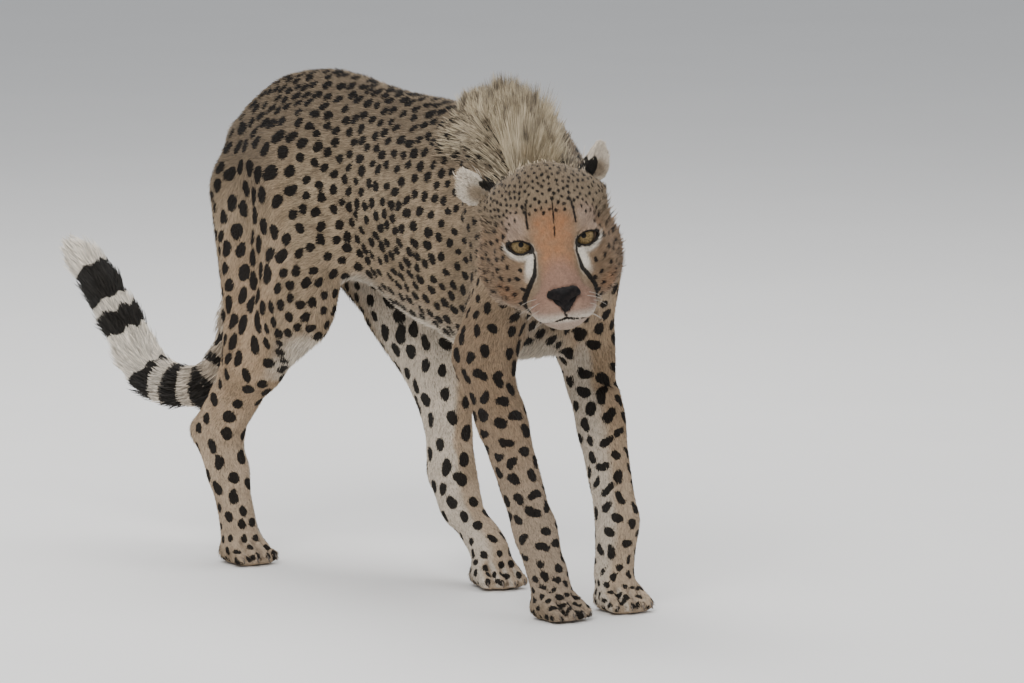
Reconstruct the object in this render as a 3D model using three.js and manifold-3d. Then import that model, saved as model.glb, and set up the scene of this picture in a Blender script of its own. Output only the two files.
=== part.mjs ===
// A young cheetah, life size, standing in mid stride with its head low and turned to its right.
// Units are millimetres. +Z is up, the animal faces -Y, and its left side is +X.
//
// The body is one smooth implicit solid: limbs and neck are chains of bones with an oval section,
// the trunk is a loft along the spine, and the head is a set of rounded masses in a frame of its own.
// Each named part is that solid inside the part's own box, so neighbours share one outline and
// stop a thin cut apart.
import * as THREE from "three";
import Module from "manifold-3d";
import { mergeVertices } from "three/addons/utils/BufferGeometryUtils.js";

const wasm = await Module();
wasm.setup();

// ---- driving dimensions ----
const cutGap = 0.4; // width of the thin cuts between parts
const cellMargin = 0.04; // share of a cell kept clear at its sides
const limbBlend = 34; // fillet between a limb and the trunk
const muscleBlend = 14; // fillet inside a limb
const headBlend = 15; // fillet between the masses of the head
const tailBlend = 20; // fillet at the root of the tail
const napeBlend = 26; // fillet between head and neck
const trunkBlend = 40; // fillet between neck and trunk
const haunchBlend = 22; // fillet between the muscles of the hindquarters
const toeBlend = 6;
const noseBlend = 9;
const trunkEnd = 34; // how far the trunk rounds off past its first and last stations
const breastTaper = 0.22; // how much narrower the breast is than the ribs
const spineTaper = 0.1;
const eyeRadius = 17;
const ear = { height: 52, width: 53, depth: 17, thickness: 8 };
const eyeOpening = [20, 16.5, 9.5]; // half sizes of the opening: depth, width, height
const earClearance = 0.6; // between an ear or the nose and the head
const maneClearance = 3; // between the mane and the skin under it

const deg = THREE.MathUtils.degToRad;
const eyeSlant = deg(8); // outer corner higher
const eyeSplay = deg(14); // outer corner further back

// trunk stations along the spine: y, height of the back, height of the belly, half width
const trunkStations = [
  [-250, 528, 395, 44],
  [-215, 562, 318, 60],
  [-160, 592, 296, 72],
  [-80, 603, 298, 80],
  [0, 608, 314, 80],
  [80, 612, 338, 73],
  [140, 620, 364, 68],
  [200, 630, 388, 68],
  [270, 622, 410, 67],
  [330, 604, 436, 62],
  [380, 566, 462, 48],
];

// head frame: where the middle of the skull is, and how it is turned
const skullMiddle = [-103, -350, 470];
const headTurn = deg(-32); // about +Z, towards the animal's right
const headNod = deg(8.5); // nose down
const headTilt = deg(8); // crown towards the animal's right

// ---- implicit shapes: each is a function of x, y, z that is negative inside ----
const smoothMin = (a, b, k) => {
  const h = Math.max(k - Math.abs(a - b), 0) / k;
  return Math.min(a, b) - (h * h * k) / 4;
};
const blend = (shapes, k) => (x, y, z) =>
  shapes.reduce((d, s) => smoothMin(d, s(x, y, z), k), 1e3);

// An oval ball: its middle and its three half sizes.
const ball = ([cx, cy, cz], [rx, ry, rz]) => (x, y, z) => {
  const [dx, dy, dz] = [x - cx, y - cy, z - cz];
  const k = Math.hypot(dx / rx, dy / ry, dz / rz);
  return k < 1e-6 ? -Math.min(rx, ry, rz) : Math.hypot(dx, dy, dz) * (1 - 1 / k);
};

// A tapered length from a to b. Each end holds [x, y, z, half width across, half width fore and aft].
const bone = (a, b) => {
  const from = new THREE.Vector3(...a);
  const axis = new THREE.Vector3(...b).sub(from);
  const length = axis.length();
  axis.normalize();
  const across = new THREE.Vector3(1, 0, 0).addScaledVector(axis, -axis.x).normalize();
  const fore = new THREE.Vector3().crossVectors(axis, across);
  return (x, y, z) => {
    const [px, py, pz] = [x - from.x, y - from.y, z - from.z];
    const t = px * axis.x + py * axis.y + pz * axis.z;
    const h = Math.min(Math.max(t / length, 0), 1);
    const over = t - h * length;
    const s = px * across.x + py * across.y + pz * across.z;
    const n = px * fore.x + py * fore.y + pz * fore.z;
    const rs = a[3] + (b[3] - a[3]) * h;
    const rn = a[4] + (b[4] - a[4]) * h;
    const k = Math.hypot(s / rs, n / rn, over / ((rs + rn) / 2));
    return k < 1e-6 ? -Math.min(rs, rn) : Math.hypot(s, n, over) * (1 - 1 / k);
  };
};
const chain = (joints) => blend(joints.slice(1).map((b, i) => bone(joints[i], b)), muscleBlend);

// Values between stations on a smooth curve through them.
const along = (stations, y, column) => {
  const last = stations.length - 1;
  const clamped = Math.min(Math.max(y, stations[0][0]), stations[last][0]);
  let i = 0;
  while (i < last - 1 && stations[i + 1][0] < clamped) i++;
  const [p0, p1, p2, p3] = [i - 1, i, i + 1, i + 2].map((n) => stations[Math.min(Math.max(n, 0), last)]);
  const span = p2[0] - p1[0];
  const t = (clamped - p1[0]) / span;
  const slope = (a, b) => (a === b ? 0 : ((b[column] - a[column]) / (b[0] - a[0])) * span);
  const [m1, m2] = [slope(p0, p2), slope(p1, p3)];
  const [t2, t3] = [t * t, t * t * t];
  return (
    (2 * t3 - 3 * t2 + 1) * p1[column] + (t3 - 2 * t2 + t) * m1 +
    (3 * t2 - 2 * t3) * p2[column] + (t3 - t2) * m2
  );
};

const trunk = (x, y, z) => {
  const [top, bottom, width] = [1, 2, 3].map((c) => along(trunkStations, y, c));
  const [middle, half] = [(top + bottom) / 2, (top - bottom) / 2];
  const up = (z - middle) / half;
  const taper = 1 - breastTaper * Math.max(-up, 0) - spineTaper * Math.max(up, 0);
  const before = trunkStations[0][0] - y;
  const behind = y - trunkStations[trunkStations.length - 1][0];
  const over = Math.max(before, behind, 0);
  const k = Math.hypot(x / (width * taper), up, over / trunkEnd);
  const reach = Math.hypot(x, z - middle, over);
  return k < 1e-6 ? -width : reach * (1 - 1 / k);
};

// ---- limbs: joints as [x out from the middle, y, z]; `side` is 1 for the left and -1 for the right ----
const foreLeg = ({ side, blade, point, elbow, arm, wrist, knuckle, toes }) => {
  const at = ([x, y, z], across, fore) => [side * x, y, z, across, fore];
  const shoulder = chain([at(blade, 24, 44), at(point, 32, 46), at(elbow, 31, 44)]);
  const forearm = chain([at(elbow, 30, 43), at(arm, 26, 34), at(wrist, 24, 27), at(knuckle, 25, 25)]);
  return blend([shoulder, forearm, paw(side, knuckle, toes)], muscleBlend);
};

const hindLeg = ({ side, hip, seat, fold, knee, calf, ankle, heel, instep, knuckle, toes }) => {
  const at = ([x, y, z], across, fore) => [side * x, y, z, across, fore];
  const thigh = chain([at(hip, 44, 86), at(knee, 35, 54)]);
  const ham = chain([at(seat, 38, 50), at(calf, 30, 42)]);
  const flank = chain([at(fold, 26, 58), at(knee, 30, 46)]);
  const shank = chain([at(knee, 34, 54), at(calf, 28, 42), at(ankle, 22, 30)]);
  const tendon = chain([at(calf, 22, 30), at(heel, 15, 17)]);
  const front = chain([at(ankle, 22, 28), at(instep, 23, 24)]);
  const back = chain([at(heel, 16, 17), at(instep, 22, 23), at(knuckle, 24, 24)]);
  const lower = blend([shank, tendon, front, back, paw(side, knuckle, toes)], muscleBlend);
  return blend([thigh, ham, flank, lower], haunchBlend);
};

// A paw: the pad block behind four toes that fan out from the knuckle.
const paw = (side, [kx, ky], [tx, ty]) => {
  const heading = new THREE.Vector2(side * (tx - kx), ty - ky).normalize();
  const sideways = new THREE.Vector2(-heading.y, heading.x);
  const place = (ahead, aside, height) => [
    side * kx + heading.x * ahead + sideways.x * aside,
    ky + heading.y * ahead + sideways.y * aside,
    height,
  ];
  const pad = ball(place(8, 0, 15), [31, 33, 21]);
  const toes = [-1.5, -0.5, 0.5, 1.5].map((n) => {
    const reach = 48 - 7 * Math.abs(n); // the middle toes stand ahead
    return bone([...place(12, n * 13, 22), 12, 14], [...place(reach, n * 16.5, 8.5), 9.5, 10.5]);
  });
  return blend([pad, ...toes], toeBlend);
};

const foreRight = foreLeg({
  side: -1, blade: [42, -150, 560], point: [62, -232, 430], elbow: [78, -184, 312],
  arm: [72, -216, 235], wrist: [58, -262, 108], knuckle: [50, -282, 46], toes: [46, -330],
});
const foreLeft = foreLeg({
  side: 1, blade: [42, -150, 560], point: [56, -230, 430], elbow: [78, -186, 312],
  arm: [72, -228, 222], wrist: [60, -275, 108], knuckle: [54, -276, 46], toes: [50, -324],
});
const hindRight = hindLeg({
  side: -1, hip: [54, 232, 508], seat: [48, 346, 472], fold: [44, 170, 440], knee: [84, 178, 338],
  calf: [86, 268, 262], ankle: [82, 344, 168], heel: [82, 384, 160], instep: [81, 331, 110],
  knuckle: [80, 312, 46], toes: [80, 262],
});
const hindLeft = hindLeg({
  side: 1, hip: [54, 232, 508], seat: [48, 342, 472], fold: [44, 140, 440], knee: [82, 92, 348],
  calf: [80, 96, 235], ankle: [64, 52, 124], heel: [66, 86, 126], instep: [58, 34, 92],
  knuckle: [50, -36, 46], toes: [40, -86],
});

const neck = chain([
  [0, -180, 488, 66, 88],
  [-42, -262, 480, 60, 72],
  [-78, -308, 474, 58, 62],
]);

// The tail hangs to the hock, swings to the right and lifts at the end.
const tailPath = [
  [2, 366, 528, 26, 26],
  [6, 410, 455, 22, 22],
  [8, 424, 372, 21, 21],
  [0, 420, 290, 22, 22],
  [-22, 414, 238, 22, 22],
  [-46, 424, 208, 23, 23],
  [-62, 466, 205, 24, 24],
  [-74, 502, 215, 25, 25],
  [-84, 522, 242, 25, 25],
  [-94, 543, 284, 24, 24],
  [-105, 566, 324, 22, 22],
  [-113, 590, 354, 19, 19],
  [-120, 612, 370, 13, 13],
];
const tail = chain(tailPath);

// ---- head, in its own frame: +X to the nose, +Y to the animal's left, +Z to the crown ----
const headPose = new THREE.Matrix4()
  .makeTranslation(...skullMiddle)
  .multiply(new THREE.Matrix4().makeRotationZ(headTurn - Math.PI / 2))
  .multiply(new THREE.Matrix4().makeRotationY(headNod))
  .multiply(new THREE.Matrix4().makeRotationX(headTilt));
const toHead = headPose.clone().invert().elements;
const inHead = (shape) => (x, y, z) =>
  shape(
    toHead[0] * x + toHead[4] * y + toHead[8] * z + toHead[12],
    toHead[1] * x + toHead[5] * y + toHead[9] * z + toHead[13],
    toHead[2] * x + toHead[6] * y + toHead[10] * z + toHead[14],
  );
const pair = (shape) => [1, -1].map((s) => shape(s));

const eyePlace = (s) => [43, s * 38, 15];
const headMasses = [
  ball([-10, 0, 26], [68, 65, 70]), // skull
  ball([28, 0, 30], [38, 48, 38]), // forehead
  bone([40, 0, 22, 25, 26], [98, 0, -29, 16, 18]), // bridge of the nose
  ball([88, 0, -45], [26, 27, 24]), // front of the muzzle
  ...pair((s) => ball([86, s * 19.5, -54], [28, 22, 20])), // whisker pads
  ...pair((s) => ball([44, s * 28, -20], [34, 21, 28])), // under the eyes
  ...pair((s) => ball([22, s * 44, -24], [41, 32, 46])), // cheeks
  ...pair((s) => ball([-16, s * 57, -24], [40, 30, 52])), // cheek ruff
  ...pair((s) => ball([-20, s * 46, 38], [38, 29, 38])), // temple, up to the root of the ear
  ball([71, 0, -72], [30, 21, 17]), // chin
  ball([28, 0, -60], [58, 44, 33]), // jaw
];
const head = inHead(blend(headMasses, headBlend));

// ---- the whole body ----
const legs = [foreRight, foreLeft, hindRight, hindLeft];
const torso = blend([trunk, neck], trunkBlend);
const body = (x, y, z) => {
  const core = torso(x, y, z);
  const joined = (limb, width) => smoothMin(core, limb(x, y, z), width);
  const extremities = [joined(tail, tailBlend), joined(head, napeBlend)];
  return Math.min(...legs.map((leg) => joined(leg, limbBlend)), ...extremities);
};

// ---- from implicit shape to mesh: one vertex in each cell that the surface crosses ----
const polygonize = (shape, low, high, cell) => {
  const counts = low.map((v, i) => Math.ceil((high[i] - v) / cell[i]) + 3);
  const [nx, ny, nz] = counts;
  const corner = (i, n) => low[n] + (i - 1) * cell[n];
  const values = new Float64Array(nx * ny * nz);
  const at = (i, j, k) => (k * ny + j) * nx + i;
  const inside = (x, y, z) =>
    Math.max(
      shape(x, y, z),
      low[0] - x, x - high[0], low[1] - y, y - high[1], low[2] - z, z - high[2],
    );
  for (let k = 0; k < nz; k++)
    for (let j = 0; j < ny; j++)
      for (let i = 0; i < nx; i++)
        values[at(i, j, k)] = inside(corner(i, 0), corner(j, 1), corner(k, 2));
  fillSaddles(values, counts, at);

  const vertices = [];
  const cellVertex = new Int32Array(nx * ny * nz).fill(-1);
  const steps = [[1, 0, 0], [0, 1, 0], [0, 0, 1]];
  for (let k = 0; k < nz - 1; k++)
    for (let j = 0; j < ny - 1; j++)
      for (let i = 0; i < nx - 1; i++) {
        const sum = [0, 0, 0];
        let crossings = 0;
        for (let c = 0; c < 8; c++) {
          const a = [i + (c & 1), j + ((c >> 1) & 1), k + (c >> 2)];
          for (const step of steps) {
            const b = a.map((v, n) => v + step[n]);
            if (b[0] > i + 1 || b[1] > j + 1 || b[2] > k + 1) continue;
            const [va, vb] = [values[at(...a)], values[at(...b)]];
            if (va < 0 === vb < 0) continue;
            const t = va / (va - vb);
            a.forEach((v, n) => (sum[n] += corner(v + step[n] * t, n)));
            crossings++;
          }
        }
        if (!crossings) continue;
        cellVertex[at(i, j, k)] = vertices.length / 3;
        const home = [i, j, k].map((v, n) => [corner(v + cellMargin, n), corner(v + 1 - cellMargin, n)]);
        vertices.push(...settle(inside, sum.map((v) => v / crossings), home));
      }

  const quads = [];
  for (let k = 1; k < nz - 1; k++)
    for (let j = 1; j < ny - 1; j++)
      for (let i = 1; i < nx - 1; i++)
        steps.forEach((step, n) => {
          const a = values[at(i, j, k)] < 0;
          const b = values[at(i + step[0], j + step[1], k + step[2])] < 0;
          if (a === b) return;
          const [u, v] = [steps[(n + 1) % 3], steps[(n + 2) % 3]];
          const quad = [[0, 0], [1, 0], [1, 1], [0, 1]].map(([p, q]) =>
            cellVertex[at(i - p * u[0] - q * v[0], j - p * u[1] - q * v[1], k - p * u[2] - q * v[2])],
          );
          quads.push(a ? quad : quad.reverse());
        });
  return new THREE.BufferGeometry()
    .setAttribute("position", new THREE.Float32BufferAttribute(vertices, 3))
    .setIndex(splitQuads(quads, vertices));
};

// Where the four corners of a cell's face alternate in and out, one of the outer ones joins the inside,
// so that no edge of the mesh is shared by four faces.
const fillSaddles = (values, [nx, ny, nz], at) => {
  const justInside = -1e-3;
  let found = true;
  while (found) {
    found = false;
    for (let k = 0; k < nz - 1; k++)
      for (let j = 0; j < ny - 1; j++)
        for (let i = 0; i < nx - 1; i++)
          for (const [u, v] of [[[1, 0, 0], [0, 1, 0]], [[0, 1, 0], [0, 0, 1]], [[0, 0, 1], [1, 0, 0]]]) {
            const face = [[0, 0], [1, 0], [1, 1], [0, 1]].map(([p, q]) =>
              at(i + p * u[0] + q * v[0], j + p * u[1] + q * v[1], k + p * u[2] + q * v[2]));
            const [a, b, c, d] = face.map((n) => values[n] < 0);
            if (a !== c || b !== d || a === b) continue;
            const outer = a ? [face[1], face[3]] : [face[0], face[2]];
            values[values[outer[0]] < values[outer[1]] ? outer[0] : outer[1]] = justInside;
            found = true;
          }
  }
};

// Two triangles from each quad, along its shorter diagonal unless another quad already uses that line.
const splitQuads = (quads, vertices) => {
  const line = (a, b) => (a < b ? `${a}_${b}` : `${b}_${a}`);
  const used = new Set(quads.flatMap((q) => q.map((v, n) => line(v, q[(n + 1) % 4]))));
  const distance = (a, b) => Math.hypot(...[0, 1, 2].map((n) => vertices[a * 3 + n] - vertices[b * 3 + n]));
  return quads.flatMap(([a, b, c, d]) => {
    const [first, second] = [line(a, c), line(b, d)];
    const shorter = distance(a, c) <= distance(b, d);
    const alongFirst = used.has(second) || (shorter && !used.has(first));
    used.add(alongFirst ? first : second);
    return alongFirst ? [a, b, c, a, c, d] : [b, c, d, b, d, a];
  });
};

// Moves a point onto the surface, without leaving the cell it belongs to.
const settle = (shape, point, home) => {
  let p = [...point];
  const probe = 0.5;
  for (let round = 0; round < 3; round++) {
    const value = shape(...p);
    const slope = [0, 1, 2].map((n) => {
      const [a, b] = [[...p], [...p]];
      a[n] += probe;
      b[n] -= probe;
      return (shape(...a) - shape(...b)) / (2 * probe);
    });
    const steep = slope.reduce((s, v) => s + v * v, 0);
    if (steep < 0.05) break;
    p = p.map((v, n) => Math.min(Math.max(v - (value * slope[n]) / steep, home[n][0]), home[n][1]));
  }
  return p;
};

// ---- solids ----
const solidOf = (geometry) => {
  const bare = geometry.clone();
  bare.deleteAttribute("normal");
  bare.deleteAttribute("uv");
  const merged = mergeVertices(bare, 1e-4);
  return new wasm.Manifold(
    new wasm.Mesh({
      numProp: 3,
      vertProperties: new Float32Array(merged.attributes.position.array),
      triVerts: new Uint32Array(merged.index.array),
    }),
  );
};
const geometryOf = (solid) => {
  const mesh = solid.getMesh();
  return new THREE.BufferGeometry()
    .setAttribute("position", new THREE.BufferAttribute(new Float32Array(mesh.vertProperties), 3))
    .setIndex(new THREE.BufferAttribute(new Uint32Array(mesh.triVerts), 1));
};
const largestBody = (solid) =>
  solid.decompose().reduce((best, s) => (s.volume() > best.volume() ? s : best));

// A box between two corners, grown by `grow`, in the frame `pose` if there is one.
const regionOf = ({ low, high, pose }, grow = 0) => {
  const box = new THREE.BoxGeometry(...high.map((v, i) => v - low[i] + 2 * grow))
    .translate(...high.map((v, i) => (v + low[i]) / 2));
  if (pose) box.applyMatrix4(pose);
  return box;
};
const meshInRegion = (part, offset = 0) => {
  const box = regionOf(part, Math.max(...part.cell));
  box.computeBoundingBox();
  const { min, max } = box.boundingBox;
  const shape = offset ? (x, y, z) => part.shape(x, y, z) - offset : part.shape;
  return solidOf(polygonize(shape, min.toArray(), max.toArray(), part.cell));
};
const belowFloor = solidOf(regionOf({ low: [-400, -700, -60], high: [400, 900, 0] }));

const model = new THREE.Group();
const colors = { tan: 0xc9a46c, pale: 0xe6dcc8, mane: 0xb9a98a, nose: 0x2b2326, amber: 0xa88a3c };
const addPart = (name, solid, color, roughness = 0.85) => {
  const material = new THREE.MeshStandardMaterial({ color, roughness, metalness: 0 });
  const mesh = new THREE.Mesh(geometryOf(solid), material);
  mesh.name = name;
  model.add(mesh);
};

// ---- parts of the body, in cutting order: a part holds what its box leaves after the boxes before it ----
const withTorso = (limb, width) => blend([torso, limb], width);
const tailed = withTorso(tail, tailBlend);
const foreCells = [[32, 34, 42], [17, 18, 38], [16, 16, 16]];
const hindCells = [[31, 36, 43], [21, 25, 36], [18, 19, 28], [16, 16, 16]];
const foreCuts = [
  ["upper", [46, 150], [-345, -108], [268, 560]],
  ["lower", [0, 150], [-345, -120], [74, 268]],
  ["paw", [0, 150], [-420, -180], [-10, 74]],
];
const hindRightCuts = [
  ["thigh", [34, 160], [90, 420], [305, 585]],
  ["shank", [20, 160], [100, 440], [206, 305]],
  ["hock", [20, 160], [240, 440], [74, 206]],
  ["paw", [20, 160], [180, 400], [-10, 74]],
];
const hindLeftCuts = [
  ["thigh", [34, 160], [20, 420], [305, 585]],
  ["shank", [0, 160], [-10, 220], [160, 305]],
  ["hock", [0, 160], [-80, 160], [74, 160]],
  ["paw", [0, 160], [-200, 60], [-10, 74]],
];
// A cut holds the part's name and how far it reaches outwards, along Y and in height.
const legParts = (place, leg, side, cells, cuts) => {
  const shape = withTorso(leg, limbBlend);
  const span = ([near, far]) => (side < 0 ? [-far, -near] : [near, far]);
  return cuts.map(([name, across, ahead, height], i) => {
    const [x0, x1] = span(across);
    return {
      name: `${place}_${side < 0 ? "right" : "left"}_${name}`, shape, cell: cells[i],
      low: [x0, ahead[0], height[0]], high: [x1, ahead[1], height[1]],
    };
  });
};
const headPart = {
  name: "head", shape: withTorso(head, napeBlend), cell: [14.8, 14.8, 14.8],
  low: [-48, -130, -125], high: [150, 130, 125], pose: headPose,
};
const neckPose = new THREE.Matrix4().makeTranslation(-58, -280, 490)
  .multiply(new THREE.Matrix4().makeRotationZ(deg(-120)));
const bodyParts = [
  headPart,
  {
    name: "neck", shape: body, cell: [28, 28, 28],
    low: [-52, -130, -100], high: [60, 130, 130], pose: neckPose,
  },
  { name: "tail_base", shape: tailed, cell: [19, 20, 34], low: [-60, 374, 335], high: [40, 480, 478] },
  { name: "tail_middle", shape: tailed, cell: [20, 22, 22], low: [-76, 374, 150], high: [20, 476, 335] },
  { name: "tail_end", shape: tailed, cell: [21, 21, 22], low: [-140, 440, 150], high: [-20, 600, 345] },
  { name: "tail_tip", shape: tailed, cell: [15, 16, 16], low: [-170, 480, 345], high: [-60, 680, 440] },
  ...legParts("fore", foreRight, -1, foreCells, foreCuts),
  ...legParts("fore", foreLeft, 1, foreCells, foreCuts),
  ...legParts("hind", hindRight, -1, hindCells, hindRightCuts),
  ...legParts("hind", hindLeft, 1, hindCells, hindLeftCuts),
  { name: "chest", shape: body, cell: [32, 52, 36], low: [-120, -340, 260], high: [120, -60, 680] },
  { name: "loin", shape: body, cell: [32, 54, 36], low: [-120, -60, 260], high: [120, 140, 680] },
  { name: "rump", shape: body, cell: [32, 52, 36], low: [-120, 140, 330], high: [120, 440, 680] },
];

// ---- eyes: balls in sockets, seen through almond openings ----
const eyeball = (s, radius) =>
  solidOf(new THREE.IcosahedronGeometry(radius, 2).translate(...eyePlace(s)).applyMatrix4(headPose));
const eyeSolids = pair((s) => eyeball(s, eyeRadius));
const eyeSockets = pair((s) => eyeball(s, eyeRadius + cutGap));
const eyeOpenings = pair((s) =>
  solidOf(
    new THREE.SphereGeometry(1, 14, 8)
      .rotateZ(Math.PI / 2)
      .scale(...eyeOpening)
      .rotateX(s * eyeSlant)
      .rotateZ(s * eyeSplay)
      .translate(62, s * 39.5, eyePlace(s)[2])
      .applyMatrix4(headPose),
  ),
);

const solids = {};
let taken = null;
for (const part of bodyParts) {
  let solid = meshInRegion(part).intersect(solidOf(regionOf(part))).subtract(belowFloor);
  if (taken) solid = solid.subtract(taken);
  if (part.name === "head") [...eyeSockets, ...eyeOpenings].forEach((s) => (solid = solid.subtract(s)));
  solid = largestBody(solid);
  const grown = solidOf(regionOf(part, cutGap));
  taken = taken ? taken.add(grown) : grown;
  solids[part.name] = solid;
  addPart(part.name, solid, colors.tan);
}
["eye_left", "eye_right"].forEach((name, i) => addPart(name, eyeSolids[i], colors.amber, 0.15));

// An ear: a thin dish standing on its base, opening along its own +X.
const earSolid = ({ place, turn, lean, roll }) => {
  const shell = new THREE.SphereGeometry(1, 10, 8);
  const p = shell.attributes.position;
  for (let i = 0; i < p.count; i++) {
    const [u, v, w] = [p.getX(i), p.getY(i), p.getZ(i)];
    const bow = ear.depth * (1 - u * u * 0.9) * (1 - 0.35 * Math.max(v, 0)); // flatter at rim and tip
    const wall = w * ear.thickness * (1 - 0.4 * Math.abs(v));
    const across = (u * ear.width * (1 - 0.12 * v)) / 2;
    const up = ((v + 0.75) * ear.height) / 1.75; // the base is sunk in the head
    p.setXYZ(i, wall - bow, across, up);
  }
  shell.rotateZ(turn).rotateX(lean).rotateY(roll).translate(...place).applyMatrix4(headPose);
  return solidOf(shell);
};
const nearHead = meshInRegion(headPart, earClearance);
const ears = {
  ear_left: { place: [-33, 67, 57], turn: deg(55), lean: deg(-28), roll: deg(-23) },
  ear_right: { place: [-36, -74, 52], turn: deg(-52), lean: deg(42), roll: deg(-26) },
};
for (const [name, place] of Object.entries(ears))
  addPart(name, largestBody(earSolid(place).subtract(nearHead)), colors.pale);

// nose leather: a rounded triangle, wide above and pointed below
const noseShape = inHead(blend([
  ball([110, 0, -34], [13, 20.5, 9.5]),
  ball([111, 0, -44.5], [10, 9, 11.5]),
], noseBlend));
const nose = { shape: noseShape, cell: [9, 9, 8], low: [80, -30, -66], high: [130, 30, -14], pose: headPose };
const behindNose = solidOf(regionOf({ low: [66, -30, -65], high: [106, 30, -5], pose: headPose }));
const ahead = new THREE.Vector3(1, 0, 0).transformDirection(headPose).multiplyScalar(cutGap);
const leather = meshInRegion(nose)
  .subtract(nearHead)
  .subtract(solids.head.translate(ahead.toArray()))
  .subtract(behindNose);
addPart("nose_pad", largestBody(leather), colors.nose, 0.45);

// mane: the long standing hair on the nape and withers
const maneShape = chain([
  [-2, -64, 596, 18, 31],
  [-12, -140, 606, 28, 40],
  [-40, -225, 598, 30, 42],
  [-70, -282, 556, 30, 36],
]);
const mane = { shape: maneShape, cell: [31, 35, 28], low: [-130, -340, 480], high: [60, -40, 680] };
const skin = { shape: body, cell: [26, 30, 26], low: [-124, -330, 466], high: [64, -50, 634] };
const standingHair = ["head", "neck", "chest", "loin"].reduce(
  (hair, name) => hair.subtract(solids[name].translate([0, 0, cutGap])),
  meshInRegion(mane).subtract(meshInRegion(skin, maneClearance)),
);
addPart("mane", largestBody(standingHair), colors.mane);

// the origin is on the floor, under the middle of the whole animal
const middle = new THREE.Box3().setFromObject(model).getCenter(new THREE.Vector3());
model.children.forEach((mesh) => mesh.geometry.translate(-middle.x, -middle.y, 0));

export default model;
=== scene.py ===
import functools
import itertools
import math
import random

import bmesh
import bpy
import numpy as np
from mathutils import Matrix, Vector, kdtree
from mathutils.bvhtree import BVHTree


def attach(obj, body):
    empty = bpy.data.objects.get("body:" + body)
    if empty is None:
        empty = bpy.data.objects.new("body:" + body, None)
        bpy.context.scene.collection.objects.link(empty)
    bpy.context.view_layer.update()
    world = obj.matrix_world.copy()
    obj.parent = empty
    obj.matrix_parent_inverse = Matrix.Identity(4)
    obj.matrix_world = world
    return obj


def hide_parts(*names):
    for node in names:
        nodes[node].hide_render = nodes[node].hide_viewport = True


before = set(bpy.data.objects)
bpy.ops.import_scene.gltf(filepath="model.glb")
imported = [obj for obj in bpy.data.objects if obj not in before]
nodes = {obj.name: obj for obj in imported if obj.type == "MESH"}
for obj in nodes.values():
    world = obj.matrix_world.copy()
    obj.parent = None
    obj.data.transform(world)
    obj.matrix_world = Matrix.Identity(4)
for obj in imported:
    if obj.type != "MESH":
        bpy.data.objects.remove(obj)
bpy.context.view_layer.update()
print("frame loaded:", len(nodes), "nodes")

# studio
studio = {
    "cameraAt": (-7.1781, -9.4527, 1.8612),
    "cameraTo": (0.1466, -0.0774, 0.2949),
    "lens": 340.0,
    "sensor": 36.0,
    "sight": 100.0,
    "floorSize": 40.0,
    "floorColour": (0.84, 0.82, 0.79),
    "floorGrain": (0.60, 0.58, 0.55),
    "skyColour": (0.80, 0.84, 0.90),
    "skyStrength": 0.60,
}
lights = {
    # place, size and power
    "keyLight": ((-3.2, -2.6, 3.4), 3.0, 205.0),
    "topLight": ((0.6, 1.2, 3.6), 3.5, 150.0),
    "fillLight": ((2.6, -4.2, 1.5), 2.4, 30.0),
}


def newObject(name, data, look=None):
    thing = bpy.data.objects.new(name, data)
    bpy.context.scene.collection.objects.link(thing)
    if look:
        data.materials.append(look)
    return thing


def lookAt(thing, target):
    away = Vector(target) - thing.location
    thing.rotation_euler = away.to_track_quat("-Z", "Y").to_euler()


cameraData = bpy.data.cameras.new("camera")
cameraData.lens = studio["lens"]
cameraData.sensor_width = studio["sensor"]
cameraData.clip_end = studio["sight"]
camera = newObject("camera", cameraData)
camera.location = studio["cameraAt"]
lookAt(camera, studio["cameraTo"])
bpy.context.scene.camera = camera
for name, (place, size, power) in lights.items():
    data = bpy.data.lights.new(name, "AREA")
    data.shape = "DISK"
    data.size = size
    data.energy = power
    light = newObject(name, data)
    light.location = place
    lookAt(light, (0, 0, 0.3))
world = bpy.data.worlds.new("studioWorld")
world.use_nodes = True
sky = world.node_tree.nodes["Background"]
sky.inputs["Color"].default_value = (*studio["skyColour"], 1)
sky.inputs["Strength"].default_value = studio["skyStrength"]
bpy.context.scene.world = world


# node maths
class Term:
    # one socket of a node tree, with the operators that the materials use
    def __init__(self, graph, socket):
        self.graph = graph
        self.socket = socket

    def maths(self, operation, other):
        return self.graph.add("ShaderNodeMath", {"operation": operation}, [self, other])

    def __add__(self, other):
        return self.maths("ADD", other)

    def __sub__(self, other):
        return self.maths("SUBTRACT", other)

    def __mul__(self, other):
        return self.maths("MULTIPLY", other)

    def __rsub__(self, other):
        return self.graph.add("ShaderNodeMath", {"operation": "SUBTRACT"}, [other, self])

    def between(self, low, high):
        # 0 below low and 1 above high, with a soft step
        return self.graph.add(
            "ShaderNodeMapRange",
            {"interpolation_type": "SMOOTHSTEP"},
            {"Value": self, "From Min": low, "From Max": high},
        )

    def beside(self, output):
        # another output of the same node
        return Term(self.graph, self.socket.node.outputs[output])

    def split(self):
        first = self.graph.add("ShaderNodeSeparateXYZ", None, [self])
        return [first.beside(n) for n in range(3)]


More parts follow.
